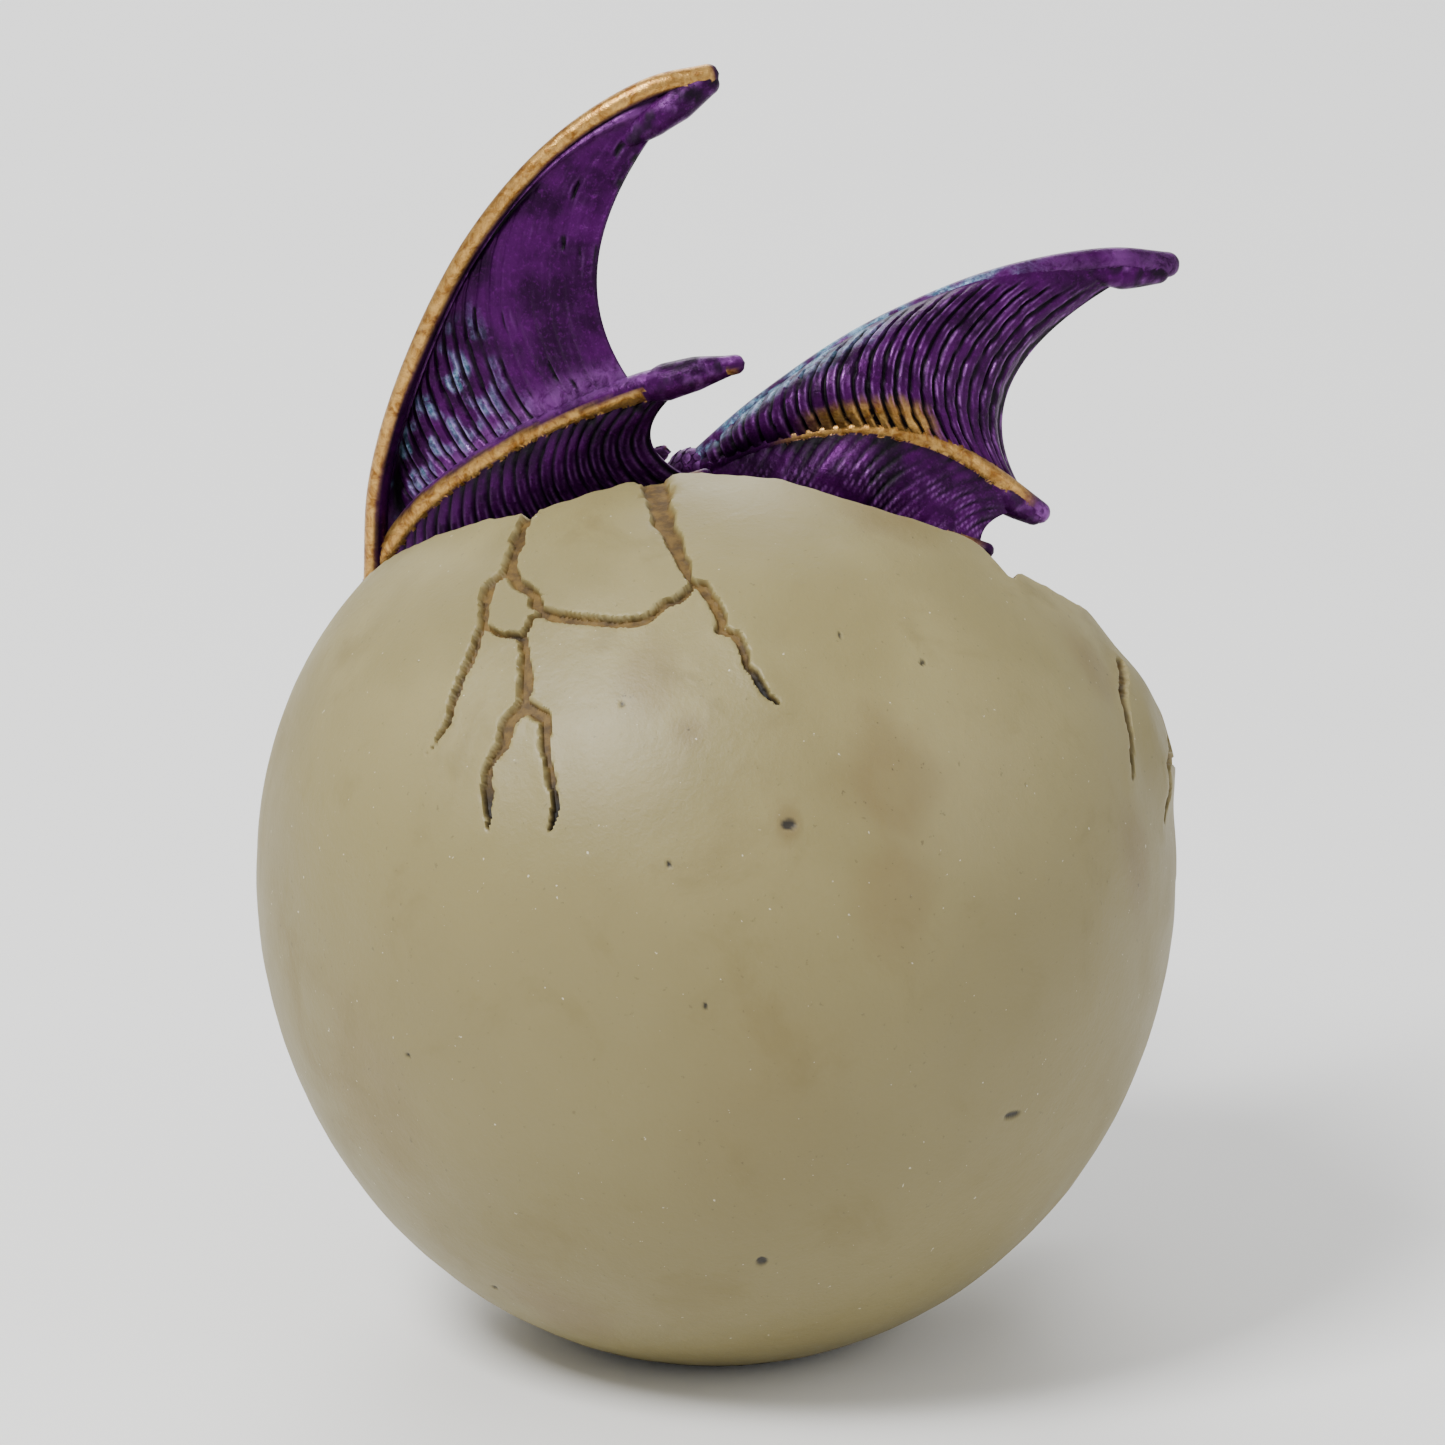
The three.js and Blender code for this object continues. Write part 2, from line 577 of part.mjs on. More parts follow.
const ornament = new THREE.Group()
ornament.name = 'bubbling_ornament'
for (const [name, solid, finish] of pieces) {
  const mesh = new THREE.Mesh(toGeometry(solid), new THREE.MeshStandardMaterial(finishes[finish]))
  mesh.name = name
  ornament.add(mesh)
}

export default ornament
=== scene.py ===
import math

import bmesh
import bpy
import numpy as np
from mathutils import Matrix, Vector, kdtree, noise
from mathutils.bvhtree import BVHTree


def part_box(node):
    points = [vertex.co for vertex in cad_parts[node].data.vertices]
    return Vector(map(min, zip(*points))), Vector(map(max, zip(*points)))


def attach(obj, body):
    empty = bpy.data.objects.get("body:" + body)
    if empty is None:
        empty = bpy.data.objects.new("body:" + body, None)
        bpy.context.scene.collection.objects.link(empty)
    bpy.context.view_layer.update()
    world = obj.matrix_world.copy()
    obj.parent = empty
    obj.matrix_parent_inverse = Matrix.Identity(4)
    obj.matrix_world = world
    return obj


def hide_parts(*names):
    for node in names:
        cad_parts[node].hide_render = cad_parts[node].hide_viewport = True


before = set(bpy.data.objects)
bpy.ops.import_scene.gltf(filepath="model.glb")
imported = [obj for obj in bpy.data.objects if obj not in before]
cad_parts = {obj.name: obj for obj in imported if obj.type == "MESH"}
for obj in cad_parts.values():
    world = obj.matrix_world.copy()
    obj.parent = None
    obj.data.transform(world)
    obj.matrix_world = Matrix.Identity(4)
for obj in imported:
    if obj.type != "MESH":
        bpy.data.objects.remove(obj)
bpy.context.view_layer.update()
mm = 0.001                      # every shape below is drawn in millimetres
scene = bpy.context.scene


# small helpers for shapes

def clamp(value, low=0.0, high=1.0):
    return np.clip(value, low, high)


def ramp(low, high, value):
    t = clamp((value - low) / (high - low))
    return t * t * (3 - 2 * t)


def unit(vectors):
    return vectors / np.maximum(np.linalg.norm(vectors, axis=-1, keepdims=True), 1e-9)


def rumble(points, size, seed=0.0):
    # smooth noise of about -1 to 1, with lumps of the given size in mm
    shift = Vector((seed * 7.3, seed * 3.1, seed * 5.7))
    return np.array([noise.noise(Vector(p) / size + shift) for p in points.reshape(-1, 3)]).reshape(
        points.shape[:-1])


def smoothPath(points, count):
    # a centripetal curve through the points, in even steps along its length
    knots = np.array(points, float)
    knots = np.vstack([2 * knots[0] - knots[1], knots, 2 * knots[-1] - knots[-2]])
    fine = []
    for i in range(1, len(knots) - 2):
        p0, p1, p2, p3 = knots[i - 1:i + 3]
        d0, d1, d2 = (max(np.linalg.norm(b - a) ** 0.5, 1e-4) for a, b in ((p0, p1), (p1, p2), (p2, p3)))
        m1 = (p1 - p0) / d0 - (p2 - p0) / (d0 + d1) + (p2 - p1) / d1
        m2 = (p2 - p1) / d1 - (p3 - p1) / (d1 + d2) + (p3 - p2) / d2
        t = np.linspace(0, 1, 24, endpoint=False)[:, None]
        m1, m2 = m1 * d1, m2 * d1
        fine.append((2 * t**3 - 3 * t**2 + 1) * p1 + (t**3 - 2 * t**2 + t) * m1
                    + (3 * t**2 - 2 * t**3) * p2 + (t**3 - t**2) * m2)
    fine = np.vstack(fine + [knots[-2:-1]])
    along = np.concatenate([[0], np.cumsum(np.linalg.norm(np.diff(fine, axis=0), axis=1))])
    steps = np.linspace(0, along[-1], count)
    return np.stack([np.interp(steps, along, column) for column in fine.T], axis=1)


def sampled(values, count):
    return np.interp(np.linspace(0, 1, count), np.linspace(0, 1, len(values)), values)


def frames(path, hint):
    # sideways and upward directions along a path, the upward one as near the hint as it goes
    tangent = unit(np.gradient(path, axis=0))
    side = unit(np.cross(tangent, np.array(hint, float)))
    return tangent, side, np.cross(side, tangent)


def nearestOn(points, path):
    # for each point: its share along the path, its offset from the path, and the path's direction there
    tangent = unit(np.gradient(path, axis=0))
    nearest = np.concatenate([np.argmin(((block[:, None] - path[None]) ** 2).sum(-1), axis=1)
                              for block in np.array_split(points, max(1, len(points) // 4000))])
    return nearest / (len(path) - 1), points - path[nearest], tangent[nearest]


def makeMesh(name, points, faces, masks=None):
    mesh = bpy.data.meshes.new(name)
    mesh.from_pydata((np.asarray(points, float) * mm).tolist(), [], faces)
    for mask, values in (masks or {}).items():
        layer = mesh.attributes.new(mask, "FLOAT", "POINT")
        layer.data.foreach_set("value", np.asarray(values, np.float32).ravel())
    mesh.update()
    return mesh


def pointOut(mesh):
    shape = bmesh.new()
    shape.from_mesh(mesh)
    bmesh.ops.remove_doubles(shape, verts=shape.verts, dist=1e-7)
    bmesh.ops.recalc_face_normals(shape, faces=shape.faces)
    shape.to_mesh(mesh)
    shape.free()
    return mesh


def addObject(name, mesh):
    piece = bpy.data.objects.new(name, mesh)
    scene.collection.objects.link(piece)
    return piece


def places(mesh):
    # the mesh's points in mm
    flat = np.empty(len(mesh.vertices) * 3)
    mesh.vertices.foreach_get("co", flat)
    return flat.reshape(-1, 3) / mm


def setPlaces(mesh, points):
    mesh.vertices.foreach_set("co", (points * mm).ravel())
    mesh.update()


def normalsOf(mesh):
    flat = np.empty(len(mesh.vertices) * 3)
    mesh.vertices.foreach_get("normal", flat)
    return flat.reshape(-1, 3)


def setMask(mesh, mask, values):
    layer = mesh.attributes.get(mask) or mesh.attributes.new(mask, "FLOAT", "POINT")
    layer.data.foreach_set("value", np.asarray(values, np.float32))


def getMask(mesh, mask):
    values = np.zeros(len(mesh.vertices), np.float32)
    if mask in mesh.attributes:
        mesh.attributes[mask].data.foreach_get("value", values)
    return values


def baked(piece):
    # the object's mesh with its modifiers applied, and the modifiers gone
    scene.view_layers[0].update()
    graph = bpy.context.evaluated_depsgraph_get()
    mesh = bpy.data.meshes.new_from_object(piece.evaluated_get(graph))
    piece.modifiers.clear()
    piece.data = mesh
    return mesh


def fuse(name, parts, cutters=()):
    # joins closed meshes into one skin and takes the cutters away from it
    piece = addObject(name, parts[0])
    tools = []
    for operation, meshes in (("UNION", parts[1:]), ("DIFFERENCE", cutters)):
        for mesh in meshes:
            tool = addObject(name + "Tool", mesh)
            step = piece.modifiers.new("step", "BOOLEAN")
            step.operation, step.solver, step.object = operation, "MANIFOLD", tool
            tools.append(tool)
    baked(piece)
    for tool in tools:
        bpy.data.objects.remove(tool)
    return piece


def carryMasks(piece, sources, names):
    # gives each point of a fused piece the masks of the nearest point that went into it
    clouds = [places(mesh) for mesh in sources]
    values = {name: np.concatenate([getMask(mesh, name) for mesh in sources]) for name in names}
    tree = kdtree.KDTree(sum(len(cloud) for cloud in clouds))
    for i, point in enumerate(np.vstack(clouds)):
        tree.insert(point, i)
    tree.balance()
    nearest = [tree.find(point)[1] for point in places(piece.data)]
    for name in names:
        setMask(piece.data, name, values[name][nearest])


def smoothShade(mesh, sharpDegrees=None):
    mesh.polygons.foreach_set("use_smooth", [True] * len(mesh.polygons))
    if sharpDegrees:
        mesh.set_sharp_from_angle(angle=math.radians(sharpDegrees))
    mesh.update()


def dress(piece, material, node, body, sharpDegrees=45):
    piece.data.materials.clear()
    piece.data.materials.append(material)
    piece.data.polygons.foreach_set("material_index", [0] * len(piece.data.polygons))
    smoothShade(piece.data, sharpDegrees)
    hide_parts(node)
    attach(piece, body)
    print(piece.name + ":", len(piece.data.polygons), "faces")


def ringTube(rings):
    # a closed tube through rings of points, each end drawn together in a middle point
    count, sides = rings.shape[:2]
    points = np.vstack([rings.reshape(-1, 3), rings[0].mean(0), rings[-1].mean(0)])
    faces = []
    for i in range(count - 1):
        for j in range(sides):
            k = (j + 1) % sides
            faces.append((i * sides + j, i * sides + k, (i + 1) * sides + k, (i + 1) * sides + j))
    first, last = count * sides, count * sides + 1
    for j in range(sides):
        k = (j + 1) % sides
        faces += [(first, k, j), (last, (count - 1) * sides + j, (count - 1) * sides + k)]
    return points, faces


def limb(path, radii, sides=20, hint=(0, 0, 1), flatten=1.0, roundEnd=True):
    # a tapering round bar along a path, flattened in its upward direction if asked
    count = len(path)
    _, side, up = frames(path, hint)
    radius = np.array(radii, float) if len(radii) == count else sampled(radii, count)
    if roundEnd:            # a domed end over the last radius of length
        left = np.linalg.norm(path - path[-1], axis=1)
        dome = clamp(left / radius[-1])
        radius = radius * np.sqrt(clamp(1 - (1 - dome) ** 2, 0.0004))
    angle = np.linspace(0, 2 * np.pi, sides, endpoint=False)
    rings = (path[:, None] + radius[:, None, None] * (np.cos(angle)[None, :, None] * side[:, None]
             + flatten * np.sin(angle)[None, :, None] * up[:, None]))
    return ringTube(rings)


def ball(centre, semi, across=32, down=20, turn=None):
    angle = np.linspace(0, 2 * np.pi, across, endpoint=False)
    tilt = np.linspace(0, np.pi, down + 1)[1:-1]
    rings = np.stack([np.outer(np.sin(tilt), np.cos(angle)), np.outer(np.sin(tilt), np.sin(angle)),
                      np.outer(np.cos(tilt), np.ones(across))], axis=-1)
    semi = np.array(semi if np.ndim(semi) else [semi] * 3, float)
    points, faces = ringTube(rings)
    points[-2:] = [[0, 0, 1], [0, 0, -1]]
    points = points * semi
    if turn is not None:
        points = points @ np.array(turn).T
    return points + np.array(centre, float), faces


def turned(profile, sides=64, matrix=None):
    # a lathed solid from pairs of radius and height; a profile off the axis closes on itself
    angle = np.linspace(0, 2 * np.pi, sides, endpoint=False)
    radius, height = np.array(profile, float).T
    rings = np.stack([np.outer(radius, np.cos(angle)), np.outer(radius, np.sin(angle)),
                      np.outer(height, np.ones(sides))], axis=-1)
    if radius[0] > 1e-6:
        count = len(profile)
        points = rings.reshape(-1, 3)
        faces = [(i * sides + j, i * sides + (j + 1) % sides, (i + 1) % count * sides + (j + 1) % sides,
                  (i + 1) % count * sides + j) for i in range(count) for j in range(sides)]
    else:
        points, faces = ringTube(rings[1:-1])
        points[-2:] = [[0, 0, height[0]], [0, 0, height[-1]]]
    if matrix is not None:
        points = points @ np.array(matrix.to_3x3()).T + np.array(matrix.translation)
    return points, faces


def solidMesh(name, shape, masks=None):
    return pointOut(makeMesh(name, *shape, masks))


# small helpers for materials

def paint(hexText):
    channels = [int(hexText[i:i + 2], 16) / 255 for i in (1, 3, 5)]
    linear = [c / 12.92 if c <= 0.04045 else ((c + 0.055) / 1.055) ** 2.4 for c in channels]
    return (*linear, 1.0)


def perMm(size):
    return 1 / (size * mm)      # a pattern's scale, from the real size of its lumps


def addNode(tree, kind, inputs=None, **settings):
    # adds a node; each input is a plain value or the socket that feeds it
    node = tree.nodes.new(kind)
    for name, value in settings.items():
        setattr(node, name, value)
    for key, value in (inputs or {}).items():
        if isinstance(value, bpy.types.NodeSocket):
            tree.links.new(value, node.inputs[key])
        else:
            node.inputs[key].default_value = value
    return node


# what the finishes are drawn with: the node, its settings, the inputs given in order and the output read
nodeKinds = {
    "noise": ("ShaderNodeTexNoise", {}, ("Vector", "Scale", "Detail", "Roughness", "Distortion"), "Fac"),
    "steps": ("ShaderNodeMapRange", {"interpolation_type": "SMOOTHSTEP"},
              ("Value", "From Min", "From Max"), 0),
    "mix": ("ShaderNodeMix", {"data_type": "RGBA"}, (0, 6, 7), 2),
    "mask": ("ShaderNodeAttribute", {}, (), "Fac"),
}
for operation in ("ADD", "SUBTRACT", "MULTIPLY", "MULTIPLY_ADD", "SQRT", "ABSOLUTE"):
    nodeKinds[operation] = ("ShaderNodeMath", {"operation": operation}, (0, 1, 2), 0)


def shade(tree, kind, *given, **settings):
    node, fixed, sockets, output = nodeKinds[kind]
    return addNode(tree, node, dict(zip(sockets, given)), **fixed, **settings).outputs[output]


def newMaterial(name, *grains, **shaderValues):
    # the material, its tree, and a noise for each size in mm, detail, roughness and distortion given
    material = bpy.data.materials.new(name)
    material.use_nodes = True
    tree = material.node_tree
    for key, value in shaderValues.items():
        tree.nodes["Principled BSDF"].inputs[key.replace("_", " ")].default_value = value
    coords = addNode(tree, "ShaderNodeTexCoord").outputs["Object"]
    noises = [shade(tree, "noise", coords, perMm(size), *rest) for size, *rest in grains]
    return material, tree, coords, *noises


def masksOf(tree, *names):
    return [shade(tree, "mask", attribute_name=name) for name in names]


def twoTone(tree, field, low, high, first, second):
    # one colour below the low value of a field, another above the high one
    return shade(tree, "mix", shade(tree, "steps", field, low, high), paint(first), paint(second))


def layered(tree, tint, *coats):
    # paints each coat over the last: where it lies, and its colour as text or as a socket
    for where, colour in coats:
        tint = shade(tree, "mix", where, tint, paint(colour) if isinstance(colour, str) else colour)
    return tint


def finished(material, bumps, **sockets):
    # links what feeds the shader; each bump is a height and its depth in mm
    tree = material.node_tree
    for height, depth in bumps:
        bump = addNode(tree, "ShaderNodeBump", {"Distance": depth * mm, "Height": height})
        if "Normal" in sockets:
            tree.links.new(sockets["Normal"], bump.inputs["Normal"])
        sockets["Normal"] = bump.outputs["Normal"]
    for key, socket in sockets.items():
        tree.links.new(socket, tree.nodes["Principled BSDF"].inputs[key.replace("_", " ")])
    return material


# materials

def castResinShell():
    # cast polyresin tinted ivory: waxy, slightly translucent, with a brown wash left in the cracks, painted
    # shade low down and painted glints
    material, tree, coords, broad, stain, speckle, fine, paintedGlints, soil = newMaterial(
        "castPolyresinIvorySatin", (26, 3, 0.5), (11, 5, 0.6, 0.4), (0.7, 3, 0.6), (0.25, 3, 0.6),
        (0.6, 2, 0.5), (1.6, 4, 0.65), IOR=1.5, Subsurface_Weight=0.22,
        Subsurface_Radius=(1.0, 0.78, 0.45), Subsurface_Scale=2.5 * mm)
    stained, edge, dirt = masksOf(tree, "stain", "crack", "dirt")
    height = addNode(tree, "ShaderNodeSeparateXYZ", {0: coords}).outputs["Z"]
    # painted shade: a darker tone grows from 92 mm down to 45 mm and below, standing in for light falling off
    # towards the bottom
    low = shade(tree, "SUBTRACT", 1.0, shade(tree, "steps", height, 45 * mm, 92 * mm))
    pores = shade(tree, "steps", speckle, 0.66, 0.74)
    pitted = shade(tree, "MULTIPLY", pores, shade(tree, "MULTIPLY_ADD", stained, 1.2, 0.4), use_clamp=True)
    tint = layered(
        tree, twoTone(tree, broad, 0.38, 0.66, "#988d60", "#867b4f"),
        (shade(tree, "MULTIPLY", low, 0.85), "#776c42"),
        (shade(tree, "MULTIPLY", shade(tree, "steps", stain, 0.52, 0.72), 0.5), "#716438"),
        (stained, "#6d5a32"), (pitted, "#4d4226"),
        # painted glints: pale flecks standing in for tiny highlights on the resin
        (shade(tree, "MULTIPLY", shade(tree, "steps", paintedGlints, 0.74, 0.78), 0.5), "#e9e3cd"),
        (edge, twoTone(tree, soil, 0.35, 0.65, "#705623", "#4a3612")), (dirt, "#120b05"))
    rough = shade(tree, "MULTIPLY_ADD", stain, 0.3, 0.36)
    return finished(material, [(stain, 0.25), (speckle, 0.05), (fine, 0.02)], Base_Color=tint,
                    Roughness=shade(tree, "ADD", rough, shade(tree, "MULTIPLY", edge, 0.2)))


def pearlPaint(name, deep, mid, bright, glint):
    # cast resin sprayed with purple pearl, its blue sheen partly painted in as colour, ribs and horns rubbed
    # with gold wax, recesses washed in black and darkened with painted shade, ridges and tips given painted
    # highlights, teeth and claws brushed ivory and the mouth crimson
    material, tree, _, patch, flake, streak = newMaterial(
        name, (5, 4, 0.6), (0.45, 3, 0.7), (1.3, 5, 0.7, 0.6), IOR=1.5, Specular_IOR_Level=0.12)
    lit, pearlAndSheenMask, gilt, bone, flesh, washAndShadeMask = masksOf(tree, "light", "pearl", "gold", "bone", "flesh", "wash")
    # painted highlights: the light mask lays the glint colour on ridges, fold lips, edges and tips
    light = shade(tree, "MULTIPLY", lit, shade(tree, "steps", streak, 0.3, 0.6))
    # the pearl mask is blue pearl paint laid as fixed colour where its sheen shows: partly real paint, partly
    # a painted sheen
    pearl = shade(tree, "MULTIPLY", pearlAndSheenMask, shade(tree, "steps", streak, 0.32, 0.6))
    worn = shade(tree, "MULTIPLY_ADD", shade(tree, "steps", flake, 0.3, 0.5), 0.3, 0.7)
    gold = shade(tree, "MULTIPLY", gilt, worn)
    # the wash mask is black wash and painted shade together, dark in grooves, recesses, gaps and undersides
    wash = shade(tree, "MULTIPLY", washAndShadeMask, shade(tree, "steps", streak, 0.22, 0.4))
    tint = layered(
        tree, twoTone(tree, patch, 0.36, 0.66, mid, deep),
        (shade(tree, "MULTIPLY", shade(tree, "steps", flake, 0.5, 0.75), 0.3), bright), (light, glint),
        (pearl, twoTone(tree, flake, 0.35, 0.65, "#2f7488", "#8fb4d0")),
        (gold, twoTone(tree, streak, 0.35, 0.7, "#c79c58", "#80531f")),
        (bone, twoTone(tree, patch, 0.3, 0.7, "#e3d6b4", "#c4b184")),
        (flesh, twoTone(tree, streak, 0.3, 0.65, "#8d2233", "#5c1220")), (wash, "#08030b"))
    metal = shade(tree, "MULTIPLY_ADD", gold, 0.4, 0.42)
    bare = shade(tree, "ADD", shade(tree, "ADD", bone, flesh), shade(tree, "MULTIPLY", wash, 0.4))
    rough = shade(tree, "SUBTRACT", shade(tree, "MULTIPLY_ADD", streak, 0.22, 0.24),
                  shade(tree, "MULTIPLY", light, 0.14))
    return finished(material, [(streak, 0.1), (flake, 0.05)], Base_Color=tint,
                    Metallic=shade(tree, "SUBTRACT", metal, bare, use_clamp=True),
                    Roughness=shade(tree, "ADD", rough, shade(tree, "MULTIPLY", wash, 0.2)))


def amberEye():
    # clear coated amber bead with a painted iris and a slit pupil
    material, tree, _, fibre = newMaterial("amberBeadClearCoat", (0.35, 4, 0.7), Roughness=0.12, IOR=1.5,
                                           Coat_Weight=1.0, Coat_Roughness=0.03)
    across, upward = masksOf(tree, "across", "upward")
    upSquared = shade(tree, "MULTIPLY", upward, upward)
    far = shade(tree, "SQRT", shade(tree, "ADD", shade(tree, "MULTIPLY", across, across), upSquared))
    iris = shade(tree, "mix", shade(tree, "steps", far, 0.1, 0.5), paint("#f4d254"),
                 twoTone(tree, fibre, 0.35, 0.65, "#e2a11c", "#a85a0c"))
    slit = shade(tree, "ADD", shade(tree, "ABSOLUTE", across), shade(tree, "MULTIPLY", upSquared, 0.38))
    pupil = shade(tree, "SUBTRACT", 1.0, shade(tree, "steps", slit, 0.1, 0.14))
    return finished(material, [(fibre, 0.01)], Base_Color=layered(
        tree, iris, (shade(tree, "steps", far, 0.6, 0.68), "#2a1206"), (pupil, "#040302")))


def plainFinish(name, span, tints, rough, depth, *grains, **shaderValues):
    # two close tones that drift over the piece, and a fine texture from the last grain
    material, tree, _, cloud, *fine = newMaterial(name, *grains, **shaderValues)
    drift = shade(tree, "steps", cloud, *span) if span else cloud
    return finished(material, [((fine or [cloud])[0], depth)],
                    Base_Color=shade(tree, "mix", drift, *[paint(tint) for tint in tints]),
                    Roughness=shade(tree, "MULTIPLY_ADD", cloud, *rough))


def mouldedSilicone():
    # matt charcoal silicone with a faint bloom
    return plainFinish("mouldedSiliconeCharcoal", (0.35, 0.7), ("#2a2a2c", "#38393b"), (0.2, 0.5), 0.02,
                       (3, 4, 0.6), (0.3, 3, 0.55), IOR=1.42)


def mouldedPlastic():
    # slate ABS straight from the mould, finely eroded
    return plainFinish("mouldedAbsSlateSatin", (0.3, 0.7), ("#39494e", "#435359"), (0.18, 0.3), 0.015,
                       (8, 3, 0.5), (0.18, 2, 0.55), IOR=1.5)


def clearVinyl():
    # soft clear airline tube, slightly hazy
    return plainFinish("softVinylClear", None, ("#e4ecea", "#d3dedd"), (0.2, 0.1), 0.03, (2.5, 3, 0.5),
                       IOR=1.53, Transmission_Weight=0.8)


def drawnSteel():
    # drawn stainless wire with faint drawing marks
    return plainFinish("drawnStainlessSteel", None, ("#b9bcbf", "#d2d5d7"), (0.2, 0.2), 0.01, (0.12, 2, 0.5),
                       Metallic=1.0)


def bondedStone():
    # sintered blue-grey grains of about 0.4 mm
    material, tree, coords = newMaterial("bondedMineralStoneRough", IOR=1.5)
    grains = addNode(tree, "ShaderNodeTexVoronoi", {"Scale": perMm(0.42), "Vector": coords}).outputs
    tone = addNode(tree, "ShaderNodeSeparateColor", {"Color": grains["Color"]}).outputs[0]
    gaps = shade(tree, "steps", grains["Distance"], 0.35, 0.8)
    tint = layered(tree, shade(tree, "mix", tone, paint("#5f6f92"), paint("#8794ad")), (gaps, "#2f3649"))
    return finished(material, [(shade(tree, "SUBTRACT", 1.0, grains["Distance"]), 0.12)], Base_Color=tint,
                    Roughness=shade(tree, "MULTIPLY_ADD", tone, 0.15, 0.8))


def castRock():
    # cast resin rockwork: umber with tan grit, painted highlights in tan on high places and painted shade in
    # hollows, where their masks are given
    material, tree, _, patch, grit = newMaterial("castResinRockMatt", (6, 4, 0.6), (0.6, 4, 0.7), IOR=1.5)
    light, wash = masksOf(tree, "light", "wash")
    tint = layered(tree, twoTone(tree, patch, 0.35, 0.65, "#6b5a42", "#4d402f"),
                   (shade(tree, "steps", grit, 0.52, 0.68), "#a8946f"),
                   (shade(tree, "MULTIPLY", light, 0.8), "#c0ab80"),
                   (shade(tree, "MULTIPLY", wash, 0.85), "#1d1710"))
    return finished(material, [(patch, 0.3), (grit, 0.12)], Base_Color=tint,
                    Roughness=shade(tree, "MULTIPLY_ADD", grit, 0.2, 0.65))


# the egg: measures in mm, the same shape as its CAD shell

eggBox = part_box("egg_shell")
egg = {
    "radius": (eggBox[1][0] - eggBox[0][0]) / 2 / mm,
    "middle": 47.5, "upper": 43.3, "lower": 49.8, "blunt": 2.15, "foot": 1.0, "floor": 5.0, "wall": 3.5,
    "columns": 300, "rows": 92, "tilt": 45,
    "crackDepth": 0.75, "crackHalf": 0.62, "refineWithin": 1.9, "crackedAbove": 44,
    "plate": (10.5, 86), "plateLift": 0.32, "flake": (-43.4, 63.5), "flakeLift": 1.1,
}
eggCentre = np.array([0, 0, egg["middle"]])
# the broken rim, as turn about the opening's axis and angle from it, in degrees
rim = [
    (0, 69), (10, 70), (17.7, 72.3), (27, 65), (36.6, 66), (44, 65.5), (46.3, 68.7), (49.8, 61.9),
    (62.2, 60.1), (71, 57.5), (80.2, 53.1), (95, 51), (106, 54.5), (117.4, 59.2), (140, 57.5),
    (159.4, 55), (172, 58), (184, 53), (196, 55), (210, 47), (222, 49.5), (236, 41), (246, 44),
    (258, 37), (270, 39.5), (281, 36), (293, 43), (304, 42.5), (316, 49), (327, 52), (338, 61), (350, 62),
    (360, 69),
]
# cracks as places across the back (x) and up (z), each with its half width factor at both ends
# and how black its far end is; the last three lie round the right side
cracks = [
    ([(15, 89.2), (16.5, 88.5), (19.5, 86), (20, 85), (20.5, 84), (22, 83), (22.5, 81.5), (22.5, 80.5),
      (23.5, 78.5), (24.5, 76), (25.5, 74), (26, 72.5), (27, 70.5), (28, 69.5)], (1.5, 0.6), 0.1),
    ([(20.5, 84.5), (19.5, 83.5), (18, 83), (17, 82)], (0.9, 0.9), 0.0),
    ([(17, 82), (15.5, 82), (12.5, 82), (9.5, 82), (7, 82.5), (5, 83.5), (3.5, 84), (2, 85)],
     (0.8, 0.9), 0.0),
    ([(6.9, 90.7), (6, 90), (5, 88.5), (3.5, 87), (2.5, 85.5), (2, 85)], (2.6, 0.9), 0.0),
    ([(2, 85), (1.5, 85), (0, 84), (-0.5, 82.5), (-0.5, 82), (-2, 81.5), (-3, 80), (-3, 79), (-4, 78.5),
      (-5, 77), (-6, 76)], (1.0, 0.6), 1.0),
    ([(22.5, 80), (21, 80), (20, 80), (19, 80)], (0.5, 0.5), 0.6),
    ([(17, 82), (18, 81.5), (18.5, 80.5), (19, 80)], (0.6, 0.6), 0.0),
    ([(19, 80), (18.5, 79), (18.5, 77), (18.5, 75)], (0.8, 1.2), 0.0),
    ([(18.5, 75), (20, 73.5), (20.5, 71.5), (22, 69.5), (22, 67.5), (22, 64)], (1.1, 0.5), 1.0),
    ([(18.5, 75), (16.5, 74), (16.5, 72), (16, 69.5), (15.5, 67), (16, 65)], (1.1, 0.5), 1.0),
    ([(-40, 70.5), (-40, 69), (-40.5, 67.5), (-41, 65), (-41, 62)], (1.0, 0.6), 0.4),
    ([(-43.5, 63.5), (-44, 62), (-44, 60.5), (-44.5, 58.5), (-44.5, 55.5)], (0.9, 0.6), 1.0),
    ([(-44, 61), (-45, 59), (-45.6, 56), (-46, 53.5), (-46.05, 49)], (0.8, 0.5), 1.0),
]
# black specks on the back: x, z, radius, and stretch to the side
specks = [(-4.5, 20, 0.55, 0), (-29, 33.5, 0.35, 1.2), (22, 12, 0.3, 0), (4.5, 62.5, 0.28, 0),
          (1, 49, 0.25, 0), (-7, 66, 0.5, 0.5), (-12, 81, 0.2, 0), (-20, 78, 0.2, 0.3), (9, 76, 0.2, 0),
          (30, 40, 0.22, 0)]

# brown stains on the back: x, z, radius and strength
stains = [(-16.4, 69, 8, 0.6), (-17, 60, 6, 0.45), (6.6, 78.4, 5, 0.42), (2.5, 74, 2.2, 0.5),
          (-7, 66, 1.6, 0.75), (-17, 87.5, 6.5, 0.5), (15.6, 10.8, 8, 0.5), (33.6, 34, 9, 0.3),
          (-41.4, 55, 5, 0.5), (-37, 73, 4.5, 0.5), (28, 88, 3, 0.3), (-4, 40, 14, 0.14)]


